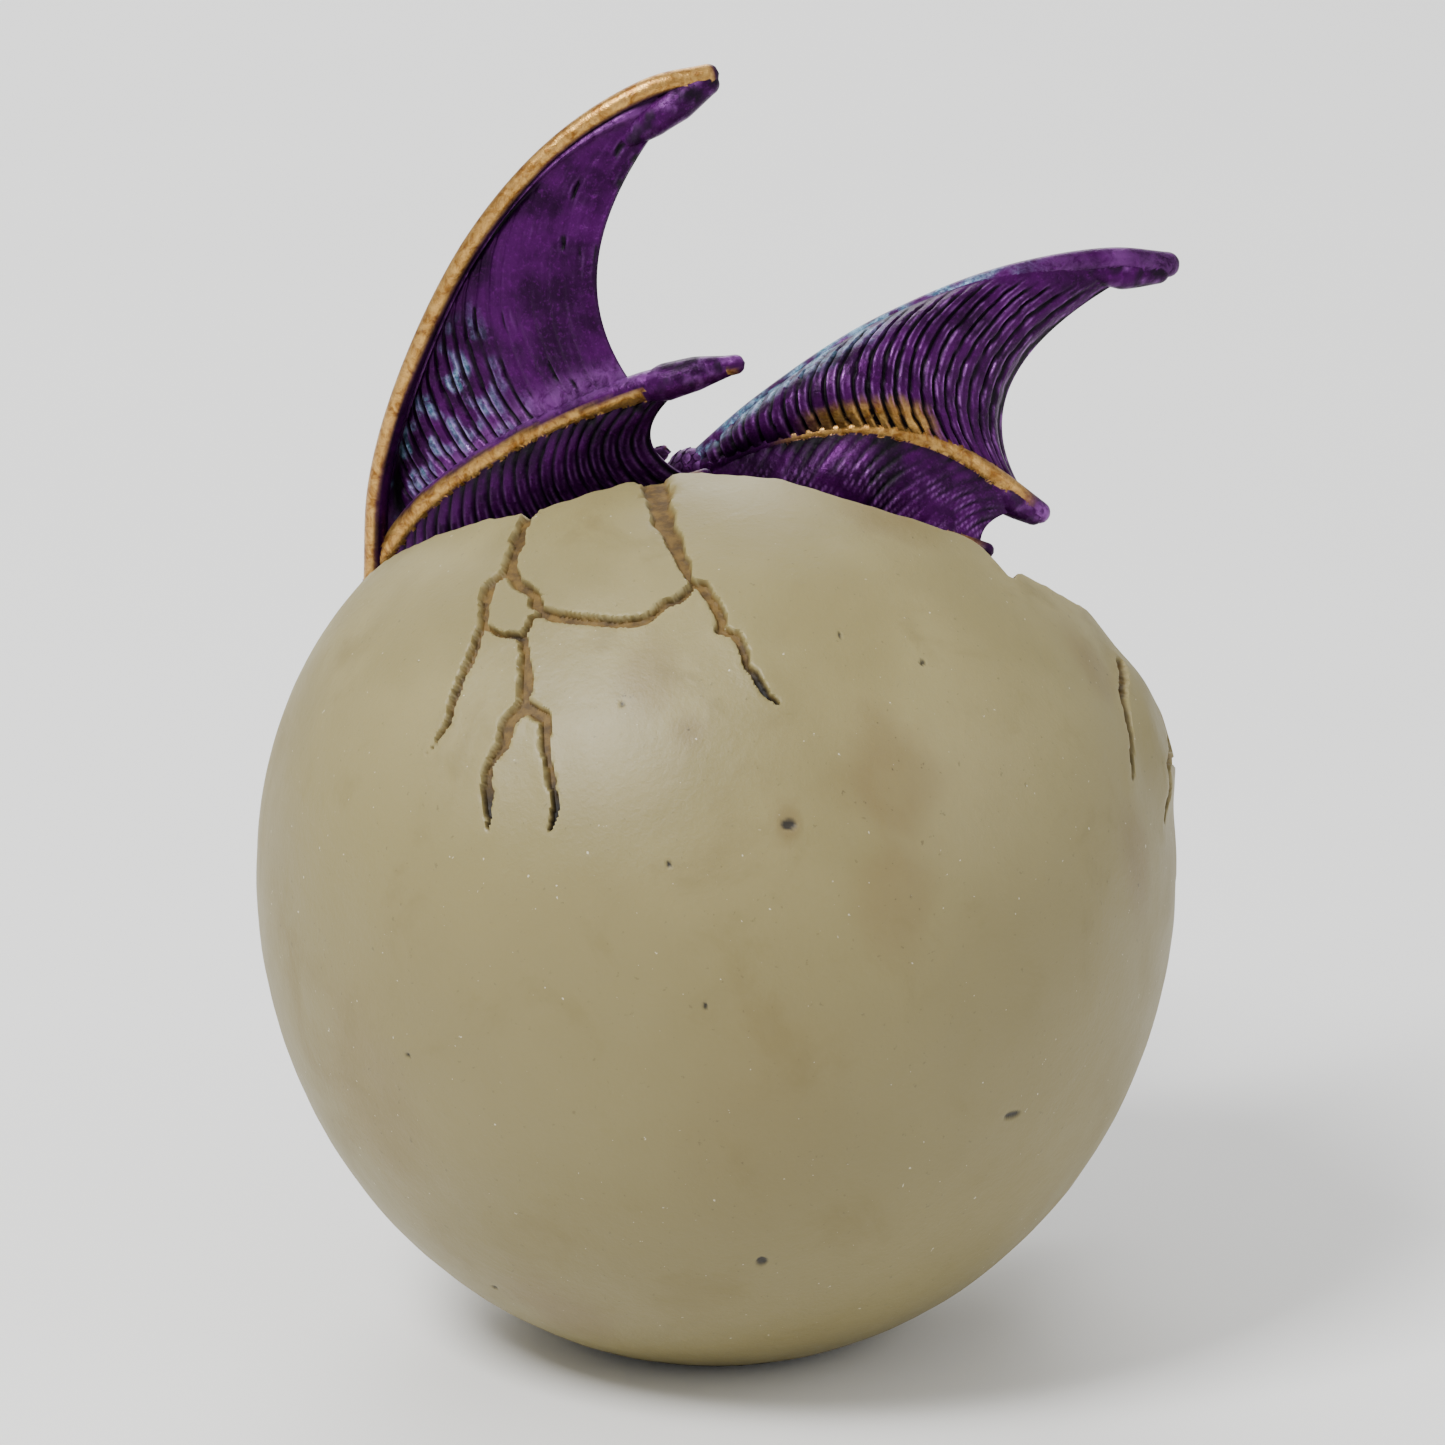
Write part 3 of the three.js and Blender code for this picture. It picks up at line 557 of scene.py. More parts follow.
def eggReach(direction, shrink=0.0, footed=True):
    # distance from the egg's centre to its surface along each direction
    across = np.hypot(direction[..., 0], direction[..., 1])
    up = direction[..., 2]
    power = np.where(up >= 0, egg["blunt"], 2.0)
    height = np.where(up >= 0, egg["upper"], egg["lower"]) - shrink
    reach = ((across / (egg["radius"] - shrink)) ** power + (np.abs(up) / height) ** power) ** (-1 / power)
    level = egg["foot"] if shrink <= 0 else egg["floor"]
    flat = np.where(up < -0.2, (egg["middle"] - level) / np.maximum(-up, 0.2), 1e3)
    return np.minimum(reach, flat) if footed else reach


def hatchDirection(turn, angle):
    turn, angle, tilt = np.radians(turn), np.radians(angle), math.radians(egg["tilt"])
    axis = np.array([0, -math.sin(tilt), math.cos(tilt)])
    side = np.array([-1.0, 0, 0])
    back = np.array([0, math.cos(tilt), math.sin(tilt)])
    return (np.cos(angle)[..., None] * axis + np.sin(angle)[..., None]
            * (np.cos(turn)[..., None] * side + np.sin(turn)[..., None] * back))


def onEgg(x, z, outwards=0.0):
    # the point of the back of the shell at a given place across and up
    low, high = 0.0, 60.0
    for _ in range(30):
        y = (low + high) / 2
        offset = np.array([x, y, z]) - eggCentre
        reach = np.linalg.norm(offset)
        low, high = (y, high) if reach < eggReach(offset / reach) else (low, y)
    offset = np.array([x, (low + high) / 2, z]) - eggCentre
    direction = offset / np.linalg.norm(offset)
    return eggCentre + direction * (eggReach(direction) + outwards)


def crackField(points):
    # how far inside a crack each point is, 0 to 1, how black it is there, and the nearest crack's distance
    wander = np.stack([rumble(points, 2.6, k) for k in (1, 2, 3)], axis=1) * 0.42
    wander += np.stack([rumble(points, 0.9, k) for k in (4, 5, 6)], axis=1) * 0.16
    probe = points + wander
    inside, black, nearest = np.zeros(len(points)), np.zeros(len(points)), np.full(len(points), 99.0)
    for path, (startWide, endWide), blackEnd in cracks:
        line = np.array([onEgg(x, z) for x, z in path])
        along = np.concatenate([[0], np.cumsum(np.linalg.norm(np.diff(line, axis=0), axis=1))])
        for i in range(len(line) - 1):
            step = line[i + 1] - line[i]
            t = clamp(((probe - line[i]) @ step) / max(step @ step, 1e-6))
            far = np.linalg.norm(probe - line[i] - t[:, None] * step, axis=1)
            share = (along[i] + t * (along[i + 1] - along[i])) / along[-1]
            half = egg["crackHalf"] * (startWide + (endWide - startWide) * share)
            half = half * (1 - 0.6 * ramp(0.85, 1, share))
            depth = 1 - ramp(0.8, 1.22, far / half)
            inside = np.maximum(inside, depth)
            black = np.maximum(black, depth * blackEnd * ramp(0.55, 0.85, share))
            nearest = np.minimum(nearest, far)
    return inside, black, nearest


def eggGrid(grow=0.0, coarse=1):
    # the shell's two skins and its broken edge as one closed surface
    columns, rows = egg["columns"] // coarse, egg["rows"] // coarse
    turn = np.linspace(0, 360, columns, endpoint=False)
    brink = np.interp(turn, *np.array(rim).T)
    edge = hatchDirection(turn, brink)
    brink = brink + 0.5 * rumble(edge * egg["radius"], 1.7, 3) + 0.35 * rumble(edge * egg["radius"], 0.8, 9)
    brink = brink - math.degrees(grow / egg["radius"])
    share = np.linspace(0, 1, rows + 1)[:-1] ** 1.12
    sheets = []
    for shrink, shares in ((-grow, share), (egg["wall"] + grow, share[::2])):
        angle = brink[None] + shares[:, None] * (180 - brink[None])
        direction = hatchDirection(np.broadcast_to(turn, angle.shape), angle)
        sheets.append(eggCentre + direction * eggReach(direction, shrink)[..., None])
    outer, inner = sheets
    strip = []
    for t in (0.2, 0.4, 0.6, 0.8):          # the broken face between the two skins
        level = outer[0] * (1 - t) + inner[0] * t
        back = unit(outer[1] - outer[0])
        chips = 0.45 * rumble(level, 1.3, 5) + 0.25 * rumble(level, 0.6, 6) - 0.25 * math.sin(math.pi * t)
        strip.append(level - back * chips[:, None])
    rings = np.concatenate([outer[::-1], np.array(strip), inner])
    points, faces = ringTube(rings)
    pole = hatchDirection(np.zeros(1), np.full(1, 180.0))
    points[-2] = eggCentre + pole[0] * eggReach(pole)[0]
    points[-1] = eggCentre + pole[0] * eggReach(pole, egg["wall"])[0]
    return points, faces


inlet = {"up": 15, "turn": 225, "boss": 6.2, "hole": 4.3, "face": 39.5, "axis": (-0.7071, -0.7071, 0)}
inletLevel = Matrix.Translation((0, 0, inlet["up"])) @ Matrix.Rotation(math.radians(inlet["turn"]), 4, "Z")
inletFrame = inletLevel @ Matrix.Rotation(math.pi / 2, 4, "Y")


def makeEggShell():
    shell = solidMesh("eggShell", eggGrid())
    wide, face = inlet["boss"], inlet["face"]
    outline = [(0, 26.5), (wide, 26.5), (wide, 38.9), (5.9, 39.35), (5.4, face), (0, face)]
    boss = solidMesh("boss", turned(outline, 48, inletFrame))
    stepped = [(0, 0), (14.8, 0), (14.8, 2.5), (12.8, 2.5), (12.8, 7), (0, 7)]
    plugHole = solidMesh("plugHole", turned(stepped, 96))
    straight = [(0, 20), (inlet["hole"], 20), (inlet["hole"], 46), (0, 46)]
    inletHole = solidMesh("inletHole", turned(straight, 48, inletFrame))
    piece = fuse("eggShell", [shell, boss], [plugHole, inletHole])
    shape = bmesh.new()
    shape.from_mesh(piece.data)
    points = np.array([v.co[:] for v in shape.verts]) / mm
    offset = points - eggCentre
    reach = np.linalg.norm(offset, axis=1)
    outside = reach > eggReach(offset / reach[:, None]) - 0.05
    near = np.full(len(points), 99.0)
    back = np.where(outside & (points[:, 2] > egg["crackedAbove"]) & (points[:, 1] > -4))[0]
    near[back] = crackField(points[back])[2]
    for x, z, radius, _ in specks:
        near = np.minimum(near, np.linalg.norm(points - onEgg(x, z), axis=1) - radius)
    busy = outside & (near < egg["refineWithin"])
    edges = [e for e in shape.edges if busy[e.verts[0].index] and busy[e.verts[1].index]]
    bmesh.ops.subdivide_edges(shape, edges=edges, cuts=3, use_grid_fill=True)
    shape.to_mesh(piece.data)
    shape.free()
    carveEgg(piece.data)
    return piece


def carveEgg(mesh):
    points = places(mesh)
    offset = points - eggCentre
    reach = np.linalg.norm(offset, axis=1)
    direction = offset / reach[:, None]
    surface = eggReach(direction)
    fromInlet = np.linalg.norm(np.cross(points - [0, 0, inlet["up"]], inlet["axis"]), axis=1)
    inletSide = (fromInlet < inlet["boss"] + 0.4) & (points[:, 1] < -15) & (points[:, 2] < 25)
    outside = (reach > surface - 0.3) & ~inletSide
    outside &= points[:, 2] > egg["foot"] + 0.05
    level = np.where(outside, surface, reach)
    crack, dirt, speck = (np.zeros(len(points)) for _ in range(3))
    back = np.where(outside & (points[:, 2] > egg["crackedAbove"]) & (points[:, 1] > -5))[0]
    inside, black, nearest = crackField(points[back])
    crack[back], dirt[back] = inside, black
    lift = np.zeros(len(points))
    lift[back] += 0.1 * (1 - ramp(0.9, 2.2, nearest)) * (1 - inside)
    for place, rise, near, far in (("plate", "plateLift", 4.5, 8.0), ("flake", "flakeLift", 3.5, 10.5)):
        away = np.linalg.norm(points - onEgg(*egg[place]), axis=1)      # both stand a little proud
        lift += egg[rise] * (1 - ramp(near, far, away))
    for x, z, radius, stretch in specks:
        away = points - onEgg(x, z)
        away = np.hypot(away[:, 0] / (1 + stretch), away[:, 2]) + np.where(points[:, 1] < 0, 99, 0)
        spot = 1 - ramp(radius * 0.7, radius * 1.25, away)
        speck = np.maximum(speck, spot)
    lift += 0.10 * rumble(points, 9, 2) + 0.05 * rumble(points, 3, 4)
    level = level + np.where(outside, lift - egg["crackDepth"] * crack - 0.2 * speck, 0)
    setPlaces(mesh, eggCentre + direction * level[:, None])
    brokenFace = (~outside) & (reach > surface - egg["wall"] + 0.15) & (points[:, 2] > 48)
    setMask(mesh, "crack", np.maximum(crack, brokenFace * 0.8))
    setMask(mesh, "dirt", clamp(np.maximum(dirt, speck * 0.95)))
    stain, broken = np.zeros(len(points)), rumble(points, 5, 1) + 0.5 * rumble(points, 1.6, 2)
    for x, z, radius, strength in stains:
        away = np.linalg.norm((points - onEgg(x, z)) * [1, 1, 0.6], axis=1) + 0.35 * radius * broken
        stain = np.maximum(stain, strength * (1 - ramp(0.25 * radius, radius, away)))
    setMask(mesh, "stain", clamp(stain * (0.9 + 0.35 * broken)))


# the wings: fingers from wrist to tip, and the skins that hang between them

wingLeft = {
    "name": "wingLeft", "node": "wing_left", "wrist": (33.6, -14, 72.6), "root": (22.1, -12.2, 66.6),
    "lead": [(34.4, -14, 73.8), (33.8, -12, 85.1), (30.1, -9, 98.4), (23.8, -7, 111.5), (15.6, -6, 121.3),
             (6.6, -6, 127), (0.8, -7, 128.1)],
    "middle": [(33.6, -14, 76.2), (28.6, -10, 83.5), (19.6, -5, 91.2), (10.6, -1, 96.6), (2.6, 1, 99.8),
               (-1.9, 1, 100.7)],
    "inner": [(34, -14, 71.4), (26.6, -10, 76.4), (15.6, -6, 81.7), (6.6, -4, 86), (1.1, -3, 88.1)],
    "reach": (0.99, 0.78, 0.94, 0.97), "scallop": ((6.8, 0, -1.2), (5, 0, -0.5)),
    "sag": ((0, -3.2, 0), (0, 1.5, 0)),
    "leadRadii": (1.25, 1.1, 0.95, 0.95, 1.15), "middleRadii": (1.5, 1.45, 1.4, 1.4, 1.5, 1.0),
    "innerRadii": (1.2, 0.9, 0.8),
    "blades": [([(9, -6, 121.6), (5.4, -6.2, 124.4), (2.4, -6.6, 126.4), (0.9, -7, 127.3)],
                (0.9, 1.7, 1.9, 1.3)),
               ([(8.2, 0, 97.6), (4.6, 0.6, 98.9), (1.4, 0.9, 99.9), (-1.4, 1, 100.6)],
                (1.0, 1.9, 1.7, 1.0))],
    "grooves": (27, 22), "grooveDepth": 0.55, "seed": 3.0,
}
wingRight = {
    "name": "wingRight", "node": "wing_right", "wrist": (2.5, -12, 86), "root": (3.7, -11.6, 80.8),
    "lead": [(2.6, -12, 86.4), (-4.4, -12, 92.9), (-15.4, -13, 100.4), (-28.4, -15, 105.5),
             (-39.4, -18, 106.6), (-45.4, -20, 105.5)],
    "middle": [(1.6, -11, 86.5), (-6.4, -8, 90.4), (-14.4, -6, 92.1), (-21.9, -6, 90.5), (-27.4, -7, 87.1),
               (-32.4, -9, 82.7)],
    "inner": [(1.6, -11, 84.5), (-6.4, -6, 83), (-14.4, -4, 83.6), (-21.4, -2, 82.6), (-26.9, 0, 81.3)],
    "reach": (0.97, 0.97, 0.97, 0.98), "scallop": ((8, 0, 0.6), (1.5, 0, 0.6)),
    "sag": ((0, 3.6, 1.2), (0, 1.8, 0)),
    "leadRadii": (1.2, 1.0, 0.9, 1.0, 1.3), "middleRadii": (1.1, 0.95, 0.95, 1.1, 1.15),
    "innerRadii": (1.0, 0.8, 0.8),
    "blades": [([(-37, -17.4, 105.6), (-41, -18.6, 104.9), (-44.4, -19.7, 104.9)], (0.9, 1.6, 1.3)),
               ([(-26.6, -6.6, 86.6), (-29.4, -7.6, 84.2), (-31.8, -8.8, 82.6)], (0.8, 1.5, 1.15))],
    "grooves": (24, 20), "grooveDepth": 0.6, "seed": 8.0,
}
membraneHalf = 0.55
wingMasks = ("wash", "gold", "light", "pearl")


def wingSurface(wing, part, across, along):
    # grid of points over one skin: rows from the upper finger to the lower one, columns out to the edge
    upper, lower = (("lead", "middle"), ("middle", "inner"))[part]
    reachUp, reachDown = wing["reach"][part * 2:part * 2 + 2]
    fine = 600
    v = np.linspace(0, 1, along)
    top, low = smoothPath(wing[upper], fine), smoothPath(wing[lower], fine)
    grid = np.linspace(0, 1, fine)
    top = np.stack([np.interp(v * reachUp, grid, top[:, k]) for k in range(3)], axis=1)
    low = np.stack([np.interp(v * reachDown, grid, low[:, k]) for k in range(3)], axis=1)
    s = np.linspace(0, 1, across)[:, None]
    arch = 4 * s * (1 - s)
    surface = top[None] * (1 - s[..., None]) + low[None] * s[..., None]
    surface = surface + (arch * v[None] ** 1.3)[..., None] * np.array(wing["scallop"][part])
    surface = surface + (arch * np.sin(np.pi * v[None]) ** 0.7)[..., None] * np.array(wing["sag"][part])
    return surface, np.broadcast_to(s, surface.shape[:2]), np.broadcast_to(v[None], surface.shape[:2])


def closedSheet(front, back):
    across, along = front.shape[:2]
    points = np.vstack([front.reshape(-1, 3), back.reshape(-1, 3)])
    half = across * along
    faces = []
    for i in range(across - 1):
        row = i * along
        for j in range(along - 1):
            a, b, c, d = row + j, row + j + 1, row + along + j + 1, row + along + j
            faces += [(a, b, c, d), (half + d, half + c, half + b, half + a)]
    border = [(0, j) for j in range(along - 1)] + [(i, along - 1) for i in range(across - 1)]
    border += [(across - 1, j) for j in range(along - 1, 0, -1)] + [(i, 0) for i in range(across - 1, 0, -1)]
    loop = [i * along + j for i, j in border]
    for here, there in zip(loop, loop[1:] + loop[:1]):
        faces.append((there, here, half + here, half + there))
    return points, faces


def folds(phase, soft=0.12):
    # 0 on the crown of a fold and 1 in the groove between two
    q = np.abs(phase - np.round(phase)) * 2
    return 1 - ramp(0.28 - soft, 0.28 + soft, q), q


def hump(value, middle, width):
    return np.exp(-((value - middle) / width) ** 2)


def band(value, rise, fall):
    # 1 between two smooth edges, each given by its start and end
    return ramp(*rise, value) * (1 - ramp(*fall, value))


# each look gives the height of a skin's folds in mm and the strength of its paints, painted shade and painted
# highlights among them

def leftOuterLook(wing, surface, s, v):
    width = np.linalg.norm(surface[-1] - surface[0], axis=1)[None] * np.ones_like(s)
    d = s * width                                    # mm in from the leading bar
    broad, fine = rumble(surface, 6, wing["seed"]), rumble(surface, 2.2, wing["seed"] + 1)
    phase = wing["grooves"][0] * v ** 0.82 + 0.25 * broad + 0.1 * fine
    groove, q = folds(phase)
    which = np.round(phase)
    strength = 0.5 + 0.5 * np.sin(which * 2.4 + 1.0) * np.cos(which * 1.1)
    lower = ramp(0.25, 0.6, s) * (1 - ramp(0.42, 0.62, v - 0.15 * s))       # deep folds low by the wrist
    strength = clamp(0.12 + 0.16 * strength + 0.9 * lower + 0.5 * ramp(0.2, 0.55, fine))
    strength = strength * ramp(3.6, 6.0, d)
    ridge = hump(d, 2.4, 0.75) * (1 - ramp(0.9, 1.0, v))
    # painted shade: black in the folds, in a recess and in a gap beside the leading bar; painted highlights
    # on the fold lips, the ridge and near the lower edge; the pearl's blue sheen painted on fold crowns by
    # the wrist
    recess = hump(d, 4.2, 0.85) * band(v, (0.12, 0.2), (0.72, 0.8)) * ramp(-0.5, 0.1, broad)
    lip = hump(q, 0.5, 0.12) * strength
    light = lip * (0.25 + 0.9 * lower) * ramp(-0.3, 0.4, fine) + 0.3 * ridge + 0.25 * hump(s, 0.93, 0.04)
    return -wing["grooveDepth"] * groove * strength + 0.5 * ridge - 0.6 * recess, {
        "wash": clamp(groove * ramp(0.18, 0.55, strength) * 1.15 + recess * 1.5 + 0.9 * hump(d, 1.35, 0.3)),
        "light": clamp(light),
        "pearl": lower * ramp(0.1, 0.5, fine + 0.2) * (1 - groove) * (1 - 0.6 * ramp(0.5, 0.9, s)) * 0.85}


def leftInnerLook(wing, surface, s, v):
    broad, fine = rumble(surface, 4, wing["seed"] + 4), rumble(surface, 1.3, wing["seed"] + 5)
    groove, q = folds(wing["grooves"][1] * v + 0.5 * s * np.sin(v * 9) + 0.3 * broad, 0.16)
    hatch = ramp(0.1, 0.5, fine) * (1 - ramp(0.25, 0.5, s)) * ramp(0.45, 0.7, v)
    # painted shade: dark bands under the middle finger and along the lower edge by the egg; painted
    # highlights on the fold crowns
    shaded = clamp((1 - ramp(0.1, 0.4, s)) * 0.9 + ramp(0.8, 1, s) * 0.8 + 0.4 * broad)
    return -0.4 * groove * clamp(0.55 + 0.5 * broad) - 0.2 * hatch, {
        "wash": clamp(groove * 0.9 + shaded * 0.8 + hatch * 0.5),
        "light": 0.4 * hump(q, 0.5, 0.14) * ramp(0.35, 0.6, s)}


def rightOuterLook(wing, surface, s, v):
    broad, fine = rumble(surface, 6, wing["seed"]), rumble(surface, 1.6, wing["seed"] + 1)
    phase = wing["grooves"][0] * v + 0.8 * s * s * ramp(0.5, 1, v) + 0.22 * broad + 0.12 * fine
    groove, q = folds(phase)
    which = np.round(phase)
    strength = 0.55 + 0.45 * np.sin(which * 1.9) * np.cos(which * 0.7 + 1)
    deep = hump(v, 0.55, 0.14)
    strength = clamp(0.42 + 0.3 * strength + 0.6 * deep + 0.35 * fine) * ramp(0.04, 0.2, s + 0.05 * broad)
    # painted shade in the folds, deepest in the middle, and along the middle finger; painted highlights on
    # the fold lips; the pearl's blue sheen painted near the leading bar by the wrist
    wash = groove * ramp(0.15, 0.5, strength) * 1.2
    wash = wash + deep * (1 - ramp(0.36, 0.56, q)) * ramp(-0.1, 0.3, fine)
    return -wing["grooveDepth"] * groove * strength, {
        "wash": clamp(wash + 0.5 * ramp(0.9, 0.97, s) * (1 - deep)),
        "gold": ramp(0.72, 0.84, s + 0.04 * fine) * band(v, (0.3, 0.42), (0.66, 0.74)),
        "light": clamp(hump(q, 0.5, 0.13) * strength * ramp(-0.3, 0.4, fine)),
        "pearl": (1 - ramp(0.15, 0.5, s)) * (1 - ramp(0.38, 0.6, v)) * ramp(-0.45, 0.2, fine) * 0.95}


def rightInnerLook(wing, surface, s, v):
    broad, fine = rumble(surface, 5, wing["seed"] + 4), rumble(surface, 1.5, wing["seed"] + 5)
    groove, q = folds(wing["grooves"][1] * (v + 0.12 * s) + 0.35 * broad, 0.16)
    strength = clamp(0.35 + 0.6 * broad + 0.3 * fine)
    # painted shade under the middle finger and in the folds; painted highlights on the fold crowns
    wash = groove * strength * 1.2 + 0.8 * (1 - ramp(0.02, 0.22, s)) + 0.5 * ramp(0.2, 0.5, broad)
    return -0.4 * groove * strength, {
        "wash": clamp(wash),
        "light": 0.6 * hump(q, 0.5, 0.14) * ramp(0.2, 0.5, s) * ramp(-0.2, 0.3, fine)}


def wingSkin(wing, part, look, across, along):
    surface, s, v = wingSurface(wing, part, across, along)
    height, masks = look(wing, surface, s, v)
    normal = unit(np.cross(np.gradient(surface, axis=0), np.gradient(surface, axis=1)))
    if normal[across // 2, along // 2, 1] < 0:
        normal = -normal
    border = np.minimum(ramp(0, 0.03, s), ramp(0, 0.03, 1 - s)) * ramp(0, 0.02, 1 - v)
    half = membraneHalf * (0.35 + 0.65 * ramp(0, 0.05, 1 - v))
    half = np.maximum(half + height * border, 0.15)[..., None] * normal     # never thinner than 0.3 mm
    doubled = {name: np.concatenate([masks.get(name, np.zeros_like(s)).ravel()] * 2) for name in wingMasks}
    return solidMesh("wingSkin", closedSheet(surface + half, surface - half), doubled)


def wingBar(path, radii, masks, hint=(0, 1, 0)):
    onward = unit(path[-1] - path[-2]) * radii[-1]      # the rounded tip ends a radius past the path
    tip = path[-1] + onward * np.linspace(0.2, 1, 5)[:, None]
    radii = np.concatenate([sampled(radii, len(path)), np.full(len(tip), radii[-1])])
    path = np.vstack([path, tip])
    points, faces = limb(path, radii, 20, hint)
    share, away, _ = nearestOn(points, path)
    values = {name: np.zeros(len(points)) for name in wingMasks}
    return solidMesh("wingBar", (points, faces), {**values, **masks(points, share, unit(away))})


def makeWing(wing, looks, barMasks, sizes, cutters):
    skins = [wingSkin(wing, part, look, *size) for part, (look, size) in enumerate(zip(looks, sizes))]
    bars = [wingBar(smoothPath(wing[finger], 110), wing[finger + "Radii"], masks)
            for finger, masks in zip(("lead", "middle", "inner"), barMasks)]
    for path, radii in wing["blades"]:              # the broad ends of the fingers
        bars.append(wingBar(smoothPath(path, 24), radii, bladeMasks))
    arm = smoothPath([wing["root"], wing["wrist"]], 12)
    shoulder = [wingBar(arm, (2.35, 2.0), armMasks), solidMesh("wrist", ball(wing["wrist"], 2.3))]
    hide = []
    for mesh in shoulder:
        setMask(mesh, "scaly", np.ones(len(mesh.vertices)))
        setVectors(mesh, "along", np.broadcast_to(arm[-1] - arm[0], (len(mesh.vertices), 3)))
        setSizes(mesh, 1.15)
        hide.append(scalesOn(mesh, 0.9, 9, 4))
    sources = skins + bars + shoulder
    keep = [mesh.copy() for mesh in sources]
    piece = fuse(wing["name"], sources, cutters)
    carryMasks(piece, keep, wingMasks)
    piece.data = joined(piece.name, [piece.data] + hide)
    return piece


# paint on the bars, from each point, its share of the length and the way it faces

def armMasks(points, share, facing):
    return {"wash": 0.5 * ramp(0.0, 0.5, rumble(points, 1.6, 4))}


def bladeMasks(points, share, facing):
    return {"wash": 0.8 * ramp(0.1, 0.45, rumble(points, 1.4, 6)),
            "light": 0.3 * ramp(0.0, 0.5, rumble(points, 1.1, 7))}


def leftLeadMasks(points, share, facing):
    # painted shade: black along the bar's inner flank against the skin, and at its tip
    inward = np.sum(facing * unit(np.array([25.0, -8, 80]) - points), axis=1)
    return {"gold": (1 - ramp(0.15, 0.45, inward)) * (1 - ramp(0.955, 0.985, share)),
            "wash": 0.75 * hump(inward, 0.5, 0.14) + 0.6 * ramp(0.975, 1.0, share)}


def leftMiddleMasks(points, share, facing):
    # painted highlights on the bar's upward face, where the light falls; painted shade in a black band
    # between its gold lower side and its top
    level = facing[:, 2] + 0.2 * rumble(points, 2, 5) + 0.55 * ramp(0.35, 0.9, share)
    return {"gold": (1 - ramp(0.35, 0.6, level)) * (1 - ramp(0.93, 0.98, share)),
            "wash": 0.8 * hump(level, 0.47, 0.1), "light": 0.35 * ramp(0.4, 0.8, facing[:, 2])}


def rightLeadMasks(points, share, facing):
    # painted highlight: a faint lilac over the bar; the pearl's blue sheen painted on its first half
    return {"pearl": 0.9 * (1 - ramp(0.5, 0.75, share)) * ramp(-0.3, 0.2, rumble(points, 2, 3)),
            "light": 0.12 + 0.2 * rumble(points, 3, 2)}


def rightMiddleMasks(points, share, facing):
    # painted highlight towards the finger's tip
    return {"gold": band(share, (0.2, 0.32), (0.86, 0.93)), "light": 0.5 * ramp(0.9, 0.95, share)}


def innerMasks(points, share, facing):
    return {"gold": 0.6 * band(share, (0.55, 0.7), (0.9, 0.97)),
            "wash": 0.6 * ramp(0.0, 0.5, rumble(points, 1.6, 4))}


# sculpted pieces: shapes drawn together into one skin, then given black wash with painted shade in the low
# places and painted highlights on the raised edges, and covered

def organic(name, shapes, voxel, rounds=4):
    # one skin round all the shapes, with soft joins
    points, faces = stacked(shapes)
    piece = addObject(name, pointOut(makeMesh(name, points, faces)))
    remesh = piece.modifiers.new("skin", "REMESH")
    remesh.mode, remesh.voxel_size = "VOXEL", voxel * mm
    soften = piece.modifiers.new("soften", "SMOOTH")
    soften.factor, soften.iterations = 0.5, rounds
    mesh = baked(piece)
    bpy.data.objects.remove(piece)
    return mesh


def stacked(shapes):
    points, faces, base = [], [], 0
    for shapePoints, shapeFaces in shapes:
        points.append(shapePoints)
        faces += [tuple(base + i for i in face) for face in shapeFaces]
        base += len(shapePoints)
    return np.vstack(points), faces


def moved(shape, matrix):
    return shape[0] @ np.array(matrix.to_3x3()).T + np.array(matrix.translation), shape[1]


def both(shape):
    # the shape and its mirror image in x
    points, faces = shape
    return [shape, (points * [-1, 1, 1], [face[::-1] for face in faces])]


def hollowness(mesh, rounds=5):
    # how far each point lies below its neighbourhood, in mm
    points = places(mesh)
    ends = np.empty(len(mesh.edges) * 2, np.int32)
    mesh.edges.foreach_get("vertices", ends)
    a, b = ends.reshape(-1, 2).T
    count = np.maximum(np.bincount(ends, minlength=len(points)), 1)[:, None]
    soft = points
    for _ in range(rounds):
        total = np.zeros_like(soft)
        np.add.at(total, a, soft[b])
        np.add.at(total, b, soft[a])
        soft = total / count
    return np.sum((soft - points) * normalsOf(mesh), axis=1)


def washShadeAndHighlight(mesh, low=0.02, high=0.12):
    # black wash and painted shade darken the low places, and painted highlights brighten the raised edges
    depth = hollowness(mesh)
    setMask(mesh, "wash", np.maximum(getMask(mesh, "wash"), ramp(low, high, depth)))
    setMask(mesh, "light", np.maximum(getMask(mesh, "light"), 0.7 * ramp(low, high, -depth)))


def setVectors(mesh, name, vectors):
    layer = mesh.attributes.new(name, "FLOAT_VECTOR", "POINT")
    layer.data.foreach_set("vector", np.asarray(vectors, np.float32).ravel())


def setSizes(mesh, sizes):
    # how large a copy is at each point, in mm
    setVectors(mesh, "size", np.ones((len(mesh.vertices), 3)) * np.reshape(sizes, (-1, 1)))


def raised(mesh, rise):
    # moves each point along its normal by its own rise in mm, and gives the new places
    setPlaces(mesh, places(mesh) + normalsOf(mesh) * rise[:, None])
    return places(mesh)


